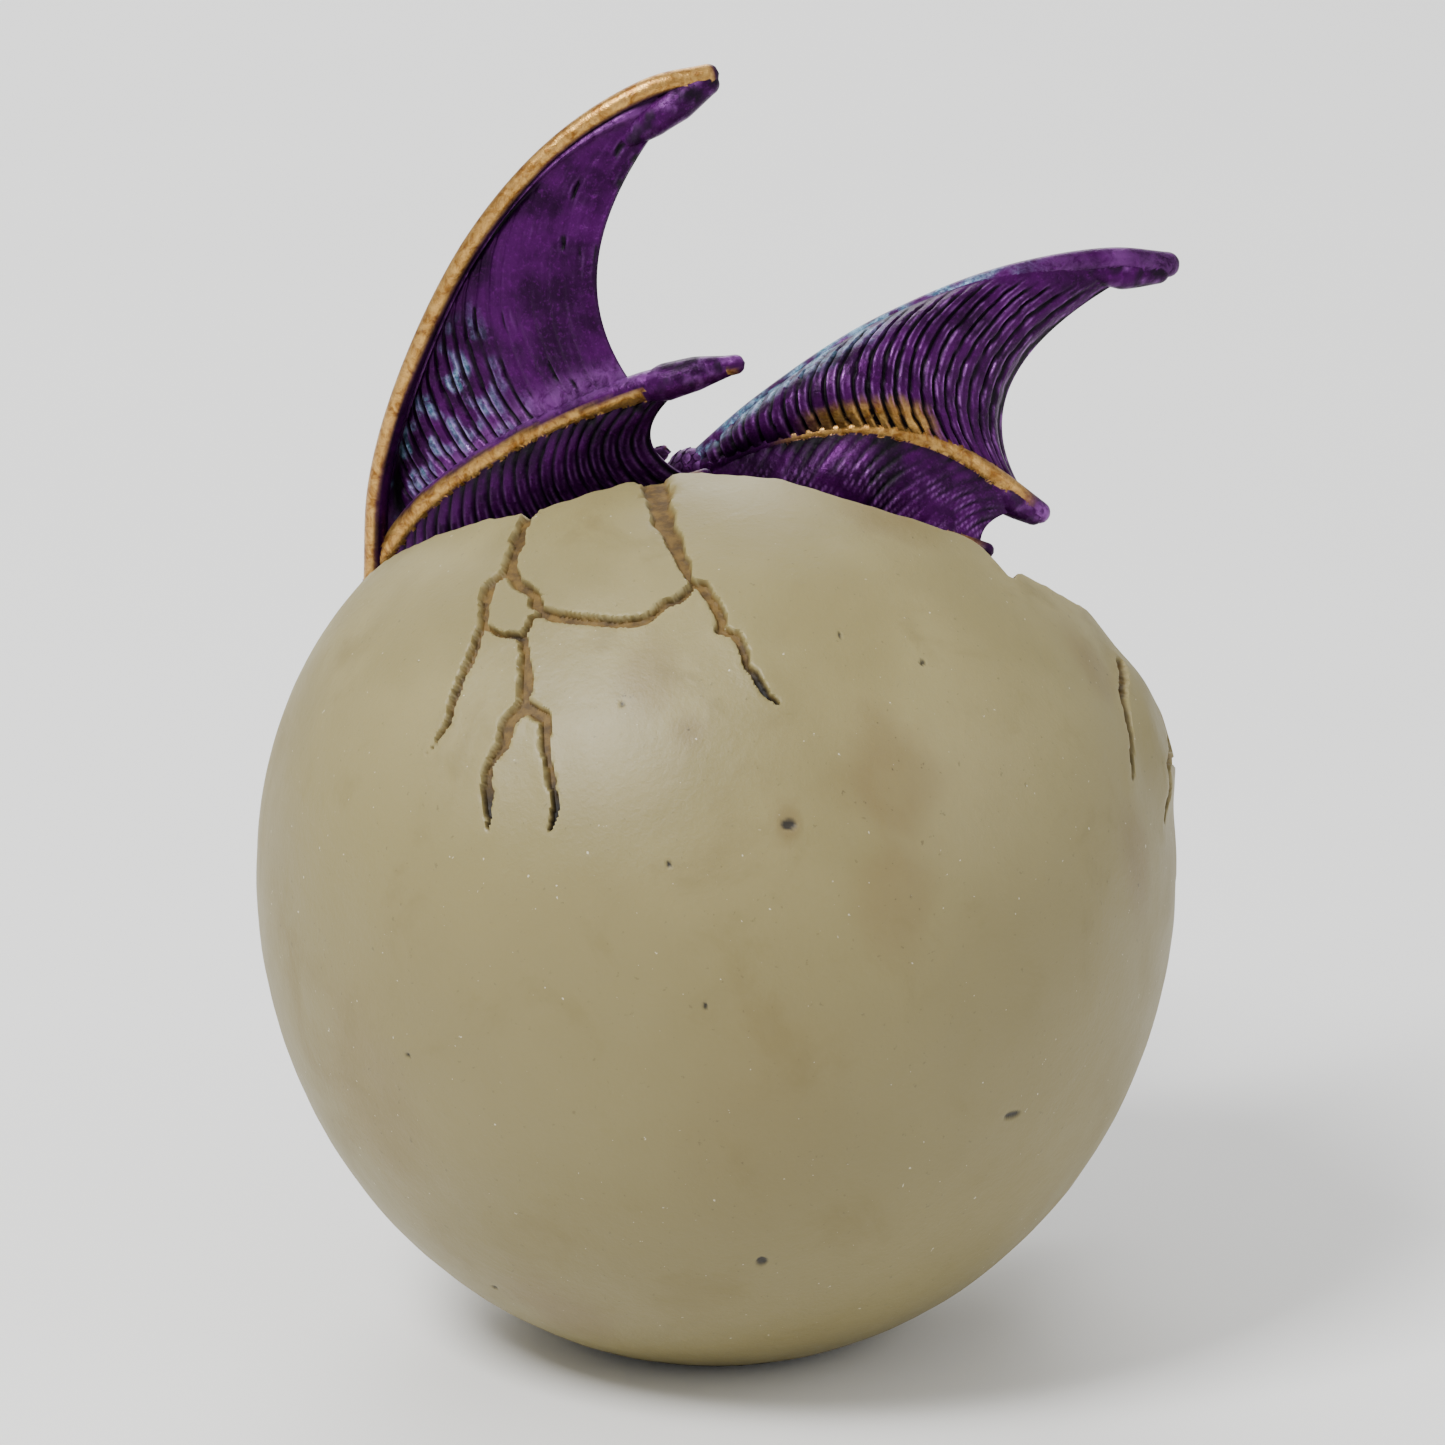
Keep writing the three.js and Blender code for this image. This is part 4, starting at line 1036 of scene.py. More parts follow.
def copyTree(name, scattered):
    # copies of a shape: one on every point given, or scattered evenly over the skin given
    tree = bpy.data.node_groups.new(name, "GeometryNodeTree")
    for label, kind in (("Geometry", "Geometry"), ("Shape", "Object"), ("Finish", "Material"),
                        ("Spacing", "Float"), ("Lift", "Float"), ("Seed", "Int")):
        tree.interface.new_socket(label, in_out="INPUT", socket_type="NodeSocket" + kind)
    tree.interface.new_socket("Geometry", in_out="OUTPUT", socket_type="NodeSocketGeometry")
    given = addNode(tree, "NodeGroupInput").outputs

    def field(attribute, kind="FLOAT_VECTOR"):
        return addNode(tree, "GeometryNodeInputNamedAttribute", {"Name": attribute},
                       data_type=kind).outputs["Attribute"]

    points, out = given["Geometry"], field("out")
    if scattered:
        scatter = addNode(tree, "GeometryNodeDistributePointsOnFaces",
                          {"Mesh": given["Geometry"], "Distance Min": given["Spacing"], "Density Max": 6e6,
                           "Density Factor": field("scaly", "FLOAT"), "Seed": given["Seed"]},
                          distribute_method="POISSON")
        points, out = scatter.outputs["Points"], scatter.outputs["Normal"]
    upright = addNode(tree, "FunctionNodeAlignRotationToVector", {"Vector": out}, axis="Z").outputs[0]
    facing = addNode(tree, "FunctionNodeAlignRotationToVector",
                     {"Rotation": upright, "Vector": field("along")}, axis="Y", pivot_axis="Z").outputs[0]
    lift = addNode(tree, "ShaderNodeCombineXYZ", {"X": given["Lift"]}).outputs[0]
    tilt = addNode(tree, "FunctionNodeEulerToRotation", {0: lift}).outputs[0]
    turn = addNode(tree, "FunctionNodeRotateRotation", {0: facing, 1: tilt},
                   rotation_space="LOCAL").outputs[0]
    vary = addNode(tree, "FunctionNodeRandomValue", {2: 0.88, 3: 1.12, "Seed": given["Seed"]},
                   data_type="FLOAT").outputs[1]
    size = addNode(tree, "ShaderNodeVectorMath", {0: field("size"), "Scale": vary},
                   operation="SCALE").outputs[0]
    shape = addNode(tree, "GeometryNodeObjectInfo", {"Object": given["Shape"]}).outputs["Geometry"]
    placed = addNode(tree, "GeometryNodeInstanceOnPoints",
                     {"Points": points, "Instance": shape, "Rotation": turn, "Scale": size}).outputs[0]
    real = addNode(tree, "GeometryNodeRealizeInstances", {"Geometry": placed}).outputs[0]
    done = addNode(tree, "GeometryNodeSetMaterial",
                   {"Geometry": real, "Material": given["Finish"]}).outputs[0]
    addNode(tree, "NodeGroupOutput", {"Geometry": done})
    return tree


def copies(mesh, tree, shape, finish, **values):
    carrier = addObject("carrier", mesh.copy())
    step = carrier.modifiers.new("copies", "NODES")
    step.node_group = tree
    values = {"Shape": shape, "Finish": finish, **values}
    for item in tree.interface.items_tree:
        if item.in_out == "INPUT" and item.name in values:
            step[item.identifier] = values[item.name]
    result = baked(carrier)
    bpy.data.objects.remove(carrier)
    return result


def scalesOn(mesh, spacing, lift, seed):
    return copies(mesh, scatterTree, scaleCopy, scaleMaterial, Spacing=spacing * mm, Lift=math.radians(lift),
                  Seed=seed)


def thornsOn(places, seed):
    return copies(places, pointTree, thornCopy, scaleMaterial, Lift=0.0, Seed=seed)


def cutClear(name, mesh, cutters, crumbs=True):
    # takes the cutters away from a painted skin, which keeps its paint
    keep = mesh.copy()
    piece = fuse(name, [mesh], cutters)
    if not crumbs:
        dropCrumbs(piece)
    carryMasks(piece, [keep], paintMasks)
    return piece


def cuttersFrom(shapes):
    return [solidMesh("cutter", shape) for shape in shapes]


def fresh(meshes):
    return [mesh.copy() for mesh in meshes]


def joined(name, meshes):
    whole = bpy.data.meshes.new(name)
    corners, starts, point, corner = [], [], 0, 0
    for mesh in meshes:
        loops = np.empty(len(mesh.loops), np.int32)
        mesh.loops.foreach_get("vertex_index", loops)
        faces = np.empty(len(mesh.polygons), np.int32)
        mesh.polygons.foreach_get("loop_start", faces)
        corners.append(loops + point)
        starts.append(faces + corner)
        point, corner = point + len(mesh.vertices), corner + len(loops)
    whole.vertices.add(point)
    whole.loops.add(corner)
    whole.polygons.add(sum(len(faces) for faces in starts))
    whole.vertices.foreach_set("co", np.vstack([places(mesh) for mesh in meshes]).ravel() * mm)
    whole.loops.foreach_set("vertex_index", np.concatenate(corners))
    whole.polygons.foreach_set("loop_start", np.concatenate(starts))
    whole.update(calc_edges=True)
    for name in paintMasks:
        setMask(whole, name, np.concatenate([getMask(mesh, name) for mesh in meshes]))
    return whole


def seeds(points, out, along, size, **marks):
    # places for copies: each with its own outward and forward direction and its size in mm
    count = len(points)
    mesh = makeMesh("seeds", points, [])
    for name, vectors in (("out", out), ("along", along), ("size", size)):
        setVectors(mesh, name, np.broadcast_to(np.array(vectors, float), (count, 3)))
    for name, value in marks.items():
        setMask(mesh, name, np.full(count, value))
    return mesh


def scaleShape():
    # a keeled shield, its free end towards +Y
    outline = np.array([(-0.26, -0.5), (0.26, -0.5), (0.5, -0.05), (0.4, 0.35), (0, 0.68), (-0.4, 0.35),
                        (-0.5, -0.05)])
    count = len(outline)
    points = np.vstack([np.column_stack([outline, np.full(count, -0.2)]),
                        np.column_stack([outline * 0.86, np.full(count, 0.1)]), [(0, -0.1, 0.2)]])
    faces = [tuple(range(count))[::-1]]
    for i in range(count):
        j = (i + 1) % count
        faces += [(i, j, count + j, count + i), (count + i, count + j, 2 * count)]
    # painted shade darkens the scale's lower edge, and painted highlights brighten its top, most at its tip
    wash = np.concatenate([np.full(count, 0.95), np.full(count, 0.2), [0]])
    light = np.concatenate([np.zeros(count), np.full(count, 0.35), [0.1]])
    light[count + 4] = 1.0
    return addObject("scaleShape", solidMesh("scaleShape", (points, faces), {"wash": wash, "light": light}))


def thornShape():
    # a curved point along +Z that leans towards +Y
    path = smoothPath([(0, 0, -0.25), (0, 0.02, 0.3), (0, 0.16, 0.7), (0, 0.42, 1.0)], 6)
    points, faces = limb(path, [0.3, 0.29, 0.24, 0.17, 0.1, 0.03], 8, (0, 1, 0), roundEnd=False)
    # painted highlights brighten the thorn towards its tip, and painted shade darkens its base
    masks = {"light": ramp(0.3, 1.0, points[:, 2]) * 0.8, "wash": 1 - ramp(-0.1, 0.35, points[:, 2])}
    return addObject("thornShape", solidMesh("thornShape", (points, faces), masks))


def pebbleShape():
    points, faces = ball((0, 0, 0), (0.5, 0.42, 0.32), 9, 6)
    # painted shade darkens each pebble's underside
    masks = {"wash": 1 - ramp(-0.1, 0.15, points[:, 2])}
    return addObject("pebbleShape", solidMesh("pebbleShape", (points, faces), masks))


# the dragon

dragon = {
    "shrink": 0.5,              # how far the skin lies inside the CAD solid, to leave room for its scales
    "voxel": 0.42, "limbVoxel": 0.36, "headVoxel": 0.32, "clear": 0.3, "limbShrink": 0.45,
    "chest": (8, -10, 60), "chestSemi": (15, 14, 22), "chestWall": 2.6, "floorTop": 49.3,
    "pivot": (15, -34, 74), "yaw": 15, "pitch": 12, "lift": 22, "knuckle": 6.5,
    "neck": [(9, -16, 66), (12, -26, 72), (15, -34, 74)], "neckRadii": (9, 7.6, 6.2),
    "spine": [(15, -34, 74), (12, -26, 72), (9, -17, 66.5), (8, -11, 58), (8, -10, 50)],
    "scale": 1.75, "limbScale": 1.45, "tailScale": 1.5, "plateLength": 3.4, "hingeHole": 1.3,
    "tail": [(-2, -2, 55), (-15, 8, 53.6), (-28, 4, 53.4), (-33.5, -12, 54), (-29.5, -27, 56),
             (-26, -36.5, 57.6), (-28.5, -40.6, 50), (-33, -36.2, 43.6), (-37.2, -30, 41)],
    "tailRadii": (6, 5.6, 5, 4.4, 3.6, 3, 2.4, 1.8, 0.8),
}
headFrame = (Matrix.Translation(dragon["pivot"]) @ Matrix.Rotation(math.radians(dragon["yaw"]), 4, "Z")
             @ Matrix.Rotation(math.radians(dragon["pitch"]), 4, "X"))
paintMasks = ("wash", "gold", "light", "pearl", "bone", "flesh")


def chestBall(grow, across=64, down=48):
    return ball(dragon["chest"], np.array(dragon["chestSemi"]) + grow, across, down)


def neckShapes(grow, sides=40):
    path = smoothPath(dragon["neck"], 24)
    return [limb(path, np.array(dragon["neckRadii"]) + grow, sides, roundEnd=False),
            ball(dragon["pivot"], dragon["knuckle"] + grow, 40, 26)]


def rodBetween(start, end, radius, sides=40, bevel=0.0):
    start, end = Vector(start), Vector(end)
    length = (end - start).length
    aim = Matrix.Translation(start) @ (end - start).to_track_quat("Z", "Y").to_matrix().to_4x4()
    profile = [(0, 0), (radius - bevel, 0), (radius, bevel), (radius, length - bevel),
               (radius - bevel, length), (0, length)]
    if not bevel:
        profile = [(0, 0), (radius, 0), (radius, length), (0, length)]
    return turned(profile, sides, aim)


def box(low, high):
    corners = np.array([(x, y, z) for z in (low[2], high[2]) for x, y in (
        (low[0], low[1]), (high[0], low[1]), (high[0], high[1]), (low[0], high[1]))], float)
    return corners, [(3, 2, 1, 0), (4, 5, 6, 7), (0, 1, 5, 4), (1, 2, 6, 5), (2, 3, 7, 6), (3, 0, 4, 7)]


def headPoint(x, y, z):
    return tuple(headFrame @ Vector((x, y, z)))


def chestSeat(toward):
    centre, semi = np.array(dragon["chest"], float), np.array(dragon["chestSemi"], float)
    along = unit(np.array(toward, float) - centre)
    return centre + along / np.linalg.norm(along / semi), along


def wingPinShape(wing, grow=0.0, bevel=0.0):
    at, along = chestSeat(wing["wrist"])
    return rodBetween(at - along * (4 + grow), at + along * (4 + grow), 1.0 + grow, 32, bevel)


def bodyCutters():
    # what the paws, the tail and the wing arms must stay clear of
    clear = dragon["clear"]
    floor = turned([(0, 44), (34 + clear, 44), (34 + clear, 49 + clear), (0, 49 + clear)], 96)
    return cuttersFrom([eggGrid(clear, 3), chestBall(clear)] + neckShapes(clear) + [floor])


def bellySide(share):
    # the belly faces down under the neck and forwards at the chest
    turn = ramp(0.25, 0.7, share)[:, None]
    return unit(np.array([0.0, -0.55, -0.83]) * (1 - turn) + np.array([0.0, -1.0, 0.0]) * turn)


def makeTorso():
    shrink = dragon["shrink"]
    muscles = [ball((17.5, -15.5, 60.5), (4.6, 5, 5.4)), ball((-1.5, -15, 60.5), (4.6, 5, 5.4)),
               ball((16.5, -9, 70), (3.6, 4, 4)), ball((3.5, -8, 76.5), (3.4, 3.6, 3.8))]
    mesh = organic("dragonTorso", [chestBall(-shrink)] + neckShapes(-shrink) + muscles, dragon["voxel"], 6)
    spine = smoothPath(dragon["spine"], 200)
    points = places(mesh)
    share, away, tangent = nearestOn(points, spine)
    length = np.sum(np.linalg.norm(np.diff(spine, axis=0), axis=1))
    belly = bellySide(share)
    belly = unit(belly - tangent * np.sum(belly * tangent, axis=1)[:, None])
    facing = np.sum(unit(away) * belly, axis=1)
    plate = ramp(0.74, 0.78, facing)                # broad plates overlap down the belly
    phase = share * length / dragon["plateLength"] + 0.35 * (1 - facing)
    slope = phase - np.floor(phase)
    nearHead = ramp(6.5, 9.5, np.linalg.norm(points - dragon["pivot"], axis=1))
    rise = plate * (0.5 * slope ** 0.8 * (1 - ramp(0.93, 1.0, slope)) - 0.1) * nearHead
    rise += (1 - plate) * 0.12 * rumble(points, 3, 2) * nearHead
    rise -= 0.35 * hump(facing, 0.75, 0.018) * nearHead
    points = raised(mesh, rise)
    shadeAtFloor = points[:, 2] < dragon["floorTop"] + 1
    setMask(mesh, "gold", plate)
    setMask(mesh, "scaly", (facing < 0.7) & (points[:, 2] > 50.5))
    # painted shade: the skin between the scales is darkened, and the strip at the nest floor more so
    setMask(mesh, "wash", np.where(shadeAtFloor, 0.8, 0) + (1 - plate) * 0.55)
    setVectors(mesh, "along", tangent)
    setSizes(mesh, dragon["scale"] * (1 - 0.3 * (1 - ramp(0.0, 0.35, share))))
    washShadeAndHighlight(mesh)
    airway = smoothPath([(9, -18, 70)] + [headPoint(*place) for place in ((0, 7, 2.6), (0, 0, 3.7),
                                                                         (0, -8, 4.4))], 16)
    cutters = [box((-60, -60, 20), (60, 60, dragon["floorTop"])), chestBall(-dragon["chestWall"], 48, 32),
               limb(airway, (1.8, 1.8), 20),
               rodBetween(headPoint(-12, 0, 0), headPoint(12, 0, 0), dragon["hingeHole"])]
    cutters += [wingPinShape(wing, dragon["clear"]) for wing in (wingLeft, wingRight)]
    spikes = thornsOn(crestSeeds(mesh, spine), 3)
    scales = scalesOn(mesh, dragon["scale"] * 0.74, 9, 11)
    piece = cutClear("dragonTorso", mesh, cuttersFrom(cutters))
    piece.data = joined("dragonTorso", [piece.data, scales, spikes])
    dress(piece, scaleMaterial, "torso", "root", 50)


def crestSeeds(mesh, spine, count=17):
    # a crest of thorns down the nape and back
    crest = smoothPath(dragon["spine"], 400)[np.linspace(95, 330, count).astype(int)]
    share, _, tangent = nearestOn(crest, spine)
    back = -bellySide(share)
    tree = BVHTree.FromPolygons(places(mesh).tolist(), [tuple(face.vertices) for face in mesh.polygons])
    spots = [tree.ray_cast(Vector(a + b * 30), Vector(-b)) for a, b in zip(crest, back)]
    found = [i for i, spot in enumerate(spots) if spot[0]]
    tall = (1.5 + 0.9 * np.sin(np.linspace(0.2, 2.9, count)))[found]
    return seeds(np.array([spots[i][0] for i in found]), back[found], tangent[found],
                 np.column_stack([tall * 0.75, tall * 1.1, tall]), gold=0.85)


def makeLimbPiece(name, node, shapes, path, cutters, scalyAt, spacing, thorns, gold=None):
    # a leg or the tail: sculpted, covered in scales and cut clear of its neighbours
    mesh = organic(name, shapes, dragon["limbVoxel"], 4)
    points = places(mesh)
    share, away, tangent = nearestOn(points, path)
    points = raised(mesh, 0.1 * rumble(points, 2.4, 6))
    scaly = scalyAt(points, share, away)
    setMask(mesh, "scaly", scaly)
    # painted shade: the skin under the scales is darkened
    setMask(mesh, "wash", 0.5 * scaly)
    if gold is not None:
        setMask(mesh, "gold", gold(share))
    setVectors(mesh, "along", tangent)
    setSizes(mesh, spacing * (1.05 - 0.4 * share))
    washShadeAndHighlight(mesh)
    parts = [scalesOn(mesh, spacing * 0.66, 9, 5), thornsOn(thorns, 7)]
    piece = cutClear(name, mesh, cutters)
    piece.data = joined(name, [piece.data] + parts)
    dress(piece, scaleMaterial, node, "root", 50)


forelegs = [
    {"name": "forelegLeft", "node": "foreleg_left", "turn": 209.4, "spread": 5.2,
     "dip": (6.0, 8.5, 8.5, 6.5),
     "path": [(19, -17, 58), (30, -21, 57), (32, -28, 59), (31.5, -33, 58.5)], "paw": (31.2, -33.2, 56.4)},
    {"name": "forelegRight", "node": "foreleg_right", "turn": 273.9, "spread": 6.4,
     "dip": (6.5, 8.5, 8.5, 6.0),
     "path": [(-3, -15, 57), (-9, -26, 56), (-4, -37, 58), (-2, -43, 57.5)], "paw": (-1.8, -44.2, 54.8)},
]


def overRim(turn, past, outwards):
    # a place on the outside of the shell, the given angle past the broken rim
    edge = np.interp(turn % 360, *np.array(rim).T)
    direction = hatchDirection(np.array([turn]), np.array([edge + past]))
    return (eggCentre + direction * (eggReach(direction) + outwards)[:, None])[0]


def makeForeleg(leg, cutters):
    path = smoothPath(leg["path"], 60)
    paw = np.array(leg["paw"])
    shapes = [limb(path, np.array((5.2, 4.6, 3.8, 3.4)) - dragon["limbShrink"], 28),
              ball(path[24], (5.0, 4.6, 4.8)), ball(paw, (4.4, 4.6, 3.2))]
    claws = []
    for k, dip in enumerate(leg["dip"]):
        turn = leg["turn"] + (k - 1.5) * leg["spread"]
        knuckle, middle, tip = (overRim(turn, past, outwards)
                                for past, outwards in ((-1.5, 2.4), (dip * 0.5, 2.5), (dip, 1.7)))
        finger = smoothPath([paw + (knuckle - paw) * 0.25, knuckle, middle, tip], 26)
        shapes += [limb(finger, (2.0, 1.75, 1.5, 1.45, 1.15), 18), ball(knuckle, 1.95, 16, 10),
                   ball(middle, 1.7, 16, 10)]
        claws.append((tip, unit(overRim(turn, dip + 4, 0.9) - tip), unit(eggCentre - tip)))
    clawSeeds = seeds(*[np.array(column) for column in zip(*claws)], (3.0, 3.2, 3.4), gold=0.35, bone=0.55)
    makeLimbPiece(leg["name"], leg["node"], shapes, path, cutters,
                  lambda points, share, away: points[:, 2] > 50, dragon["limbScale"], clawSeeds)


def makeTail(cutters):
    steps, thornCount = 220, 34
    path = smoothPath(dragon["tail"], steps)
    radii = sampled(dragon["tailRadii"], steps)
    radii = radii - dragon["limbShrink"] * ramp(0.5, 2.5, radii)
    tip = path[-1]
    onward, outwards = unit(tip - path[-6]), unit(tip - eggCentre)
    blade = smoothPath([tip - onward * 1.5, tip + onward * 1.2, tip + onward * 6.2], 14)
    spade = limb(blade, (0.9, 2.9, 2.3, 1.2, 0.3), 20, outwards, flatten=0.3, roundEnd=False)
    at = np.linspace(22, 196, thornCount).astype(int)
    tangent = unit(np.gradient(path, axis=0))[at]
    top = np.where((path[at][:, 2] > 53)[:, None], [[0.0, 0.0, 1.0]], outwards[None])
    top = unit(top - tangent * np.sum(top * tangent, axis=1)[:, None])
    tall = 0.55 * radii[at] + 0.35
    thorns = seeds(path[at] + top * radii[at][:, None], top, tangent,
                   np.column_stack([tall * 0.8, tall * 1.4, tall]), gold=0.85)

    def scalyAt(points, share, away):               # all but the tip and the underside
        return (share < 0.97) & (away[:, 2] > -0.75 * np.linalg.norm(away, axis=1))

    makeLimbPiece("dragonTail", "tail", [limb(path, radii, 30), spade], path, cutters, scalyAt,
                  dragon["tailScale"], thorns, lambda share: 0.9 * (share > 0.985))


# the head, drawn about its own hinge: -Y is forwards and the mouth line is at the bottom

skullStations = [(3.2, 5.6, 6.4, 0), (0, 8.8, 9.4, -3.2), (-5, 9.6, 11, -3.4), (-10, 8.8, 10.4, -3.2),
                 (-14, 6.8, 7, -3), (-19, 5.6, 4.6, -3), (-24, 4.8, 3.8, -3.2), (-27, 3, 2.2, -3)]
palateStations = [(-3, 9, 9.6, -5), (-10, 8.2, 9, -5), (-14, 6.4, 5.8, -5), (-22, 5, 3, -5)]
jawStations = [(-4.5, 7, -9, -4), (-10, 6.4, -8.8, -3.9), (-17, 5.2, -8, -3.7), (-23, 4.2, -7.6, -3.9),
               (-25.6, 2.4, -6.4, -3.8)]
hornPath = [(4.4, -3, 8.2), (5.2, 3, 11.6), (4.6, 10, 14)]
eyeAt, eyeRadius = np.array([7.3, -10.4, 4.8]), 1.7
eyeGaze = unit(np.array([0.88, -0.42, 0.12]))


def headForm(stations, shrink=0.0, sides=44, count=48):
    # rings with a flat mouth line: place, half width, crest and mouth line along the head
    along = smoothPath(stations, count)
    angle = np.linspace(0, 2 * np.pi, sides, endpoint=False)
    right, up = np.cos(angle), np.sin(angle)
    rings = []
    for y, width, crest, line in along:
        rise = np.maximum(up, 0) ** 0.8 * (abs(crest - line) - shrink) - 0.2 * np.maximum(-up, 0)
        x = np.sign(right) * np.abs(right) ** 0.85 * (width - shrink)
        rings.append(np.column_stack([x, np.full(sides, y), line + np.sign(crest - line) * rise]))
    return ringTube(np.array(rings))


def bar(points, radii, sides=16, **options):
    return limb(smoothPath(points, 26), radii, sides, **options)


def lidLoop(centre, gaze):
    # an almond ring round the eye
    side = unit(np.cross(gaze, [0, 0, 1]))
    up = np.cross(side, gaze)
    angle = np.linspace(0, 2 * np.pi, 37)
    loop = (centre + gaze * 0.75 + np.cos(angle)[:, None] * side * 2.25
            + (np.sin(angle) * (1.75 + 0.25 * np.sin(angle)))[:, None] * up)
    return limb(loop, (0.55, 0.5, 0.55), 12, gaze, roundEnd=False)


def intoPlace(mesh):
    setPlaces(mesh, moved((places(mesh), None), headFrame)[0])
    return mesh


def neckCutters(*angles):
    # the neck as the head sees it, with the head lifted by each angle
    inverse = headFrame.inverted()
    return [moved(moved(shape, inverse), Matrix.Rotation(math.radians(angle), 4, "X"))
            for angle in angles for shape in neckShapes(dragon["clear"])]


def teethAlong(edge, talls, thick, lean, upwards):
    rows = [(place * [side, 1, 1], (side * lean, 0, upwards), (0, 1, 0), (thick, thick, tall))
            for place, tall in zip(edge, talls) for side in (1, -1)]
    return thornsOn(seeds(*[np.array(column, float) for column in zip(*rows)], bone=1.0), 9)


def makeUpperHead():
    shapes = [headForm(skullStations),
              bar([(0, -6, 10.6), (0, -11, 9.6), (0, -16, 5.9), (0, -22, 4.2), (0, -25.8, 3.1)],
                  (1.2, 1.3, 1.1, 1.0, 0.7))]
    for shape in (
            bar([(3.6, -16, 5.6), (5.8, -13.6, 7.4), (8.0, -10.6, 8.0), (8.8, -6.4, 7.8), (8.0, -2.5, 8.6)],
                (0.6, 1.2, 1.5, 1.3, 0.7)),
            ball((7.6, -6.2, 0.4), (2.5, 4.2, 2.8)), ball((8.0, -2.4, 0.2), (1.9, 2.8, 3.2)),
            ball((2.7, -24.4, 3.0), (1.5, 1.9, 1.2)),
            bar([(8.9, -4, -2.3), (8.4, -10, -2.3), (6.3, -14.4, -2.3), (5.2, -19, -2.3), (4.5, -24, -2.4),
                 (2.6, -26.9, -2.5), (0, -27.4, -2.5)], (0.5, 0.75, 0.8, 0.75, 0.8, 0.8, 0.7)),
            bar(hornPath, (2.2, 1.55, 0.45)),
            bar([(7.4, -1.6, 5.4), (8.8, 2.2, 6.6), (9.2, 5.6, 8.2)], (1.3, 0.9, 0.25)),
            bar([(8.6, -1.6, 1.6), (10.2, 1.6, 1.6), (10.6, 4.6, 2.6)], (1.2, 0.8, 0.22)),
            bar([(7.6, -2.6, -1.4), (9.4, 0.4, -2.0), (9.9, 3.0, -2.0)], (1.0, 0.7, 0.2)),
            lidLoop(eyeAt, eyeGaze)):
        shapes += both(shape)
    shapes.append(bar([(0, -22.6, 4.0), (0, -22.8, 5.6), (0, -22.0, 7.2)], (1.1, 0.7, 0.2)))
    mesh = organic("upperHead", shapes, dragon["headVoxel"], 3)
    points = places(mesh)
    mirror = np.abs(points) * [1, 0, 0] + points * [0, 1, 1]
    hornShare, hornAway, _ = nearestOn(mirror, smoothPath(hornPath, 60))
    onHorn = ramp(0.12, 0.2, hornShare) * (1 - ramp(1.9, 2.5, np.linalg.norm(hornAway, axis=1)))
    spikes = ramp(8.9, 9.6, np.abs(points[:, 0])) * ramp(-0.6, 0.6, points[:, 1])
    noseHorn = ramp(5.0, 5.6, points[:, 2]) * (1 - ramp(-19.5, -18.5, points[:, 1]))
    lip = (1 - ramp(-1.9, -1.3, points[:, 2])) * (1 - ramp(-5, -3, points[:, 1]))
    bonyParts = np.maximum(np.maximum(onHorn, spikes), noseHorn)
    rise = 0.14 * rumble(points, 2.2, 3) + 0.07 * rumble(points, 0.9, 4)
    rise = rise * (1 - bonyParts) - onHorn * 0.16 * ramp(0.2, 0.9, np.sin(hornShare * 62))
    points = raised(mesh, rise)
    eyeFar = np.linalg.norm(mirror - eyeAt, axis=1)
    scaly = (bonyParts < 0.1) & (lip < 0.1) & (eyeFar > 3.1) & (points[:, 1] > -24.6) & (points[:, 2] > -1.6)
    setMask(mesh, "gold", clamp(bonyParts * 0.9 + 0.35 * lip))
    # painted shade: the skin under the scales and the socket round the eye are darkened
    setMask(mesh, "wash", 0.45 * scaly + 0.8 * (1 - ramp(2.2, 2.9, eyeFar)))
    setMask(mesh, "scaly", scaly)
    setVectors(mesh, "along", unit(points * [0.35, 0, 0] + [0, 1.0, -0.1]))
    setSizes(mesh, 0.95 + 0.5 * ramp(-20, -4, points[:, 1]))
    washShadeAndHighlight(mesh)
    scales = scalesOn(mesh, 0.88, 8, 21)
    gum = smoothPath([(7.3, -9.5, -3.2), (5.7, -14.4, -3.0), (4.6, -19, -3.0), (3.9, -24, -3.1),
                      (1.6, -26.2, -3.1)], 13)
    talls = [(1.5, 1.1, 1.9)[k % 3] * (1.25 if k in (9, 10) else 1.0) for k in range(len(gum))]
    teeth = teethAlong(gum, talls, 1.1, 0.12, -1)
    cutters = [headForm(palateStations, 1.7, 36, 30), ball((0, 0, 0), dragon["knuckle"] + 0.6, 40, 26),
               rodBetween((-12, 0, 0), (12, 0, 0), dragon["hingeHole"])]
    cutters += both(ball(eyeAt, eyeRadius + 0.22, 32, 20))
    cutters += both(rodBetween((3.0, -26.4, 3.2), (2.4, -23.6, 3.0), 0.55, 16))
    cutters += neckCutters(0, dragon["lift"] / 2, dragon["lift"] + 2)
    piece = cutClear("upperHead", mesh, cuttersFrom(cutters), crumbs=False)
    x, y, z = places(piece.data).T
    mouth = (z < -1) & (np.abs(x) < 4.4) | (z < 4) & (np.abs(x) < 3)
    setMask(piece.data, "flesh", mouth & (y > -22) & (z < 3.4) & (normalsOf(piece.data)[:, 2] < 0))
    piece.data = intoPlace(joined("upperHead", [piece.data, scales, teeth]))
    dress(piece, scaleMaterial, "upper_head", "head", 50)


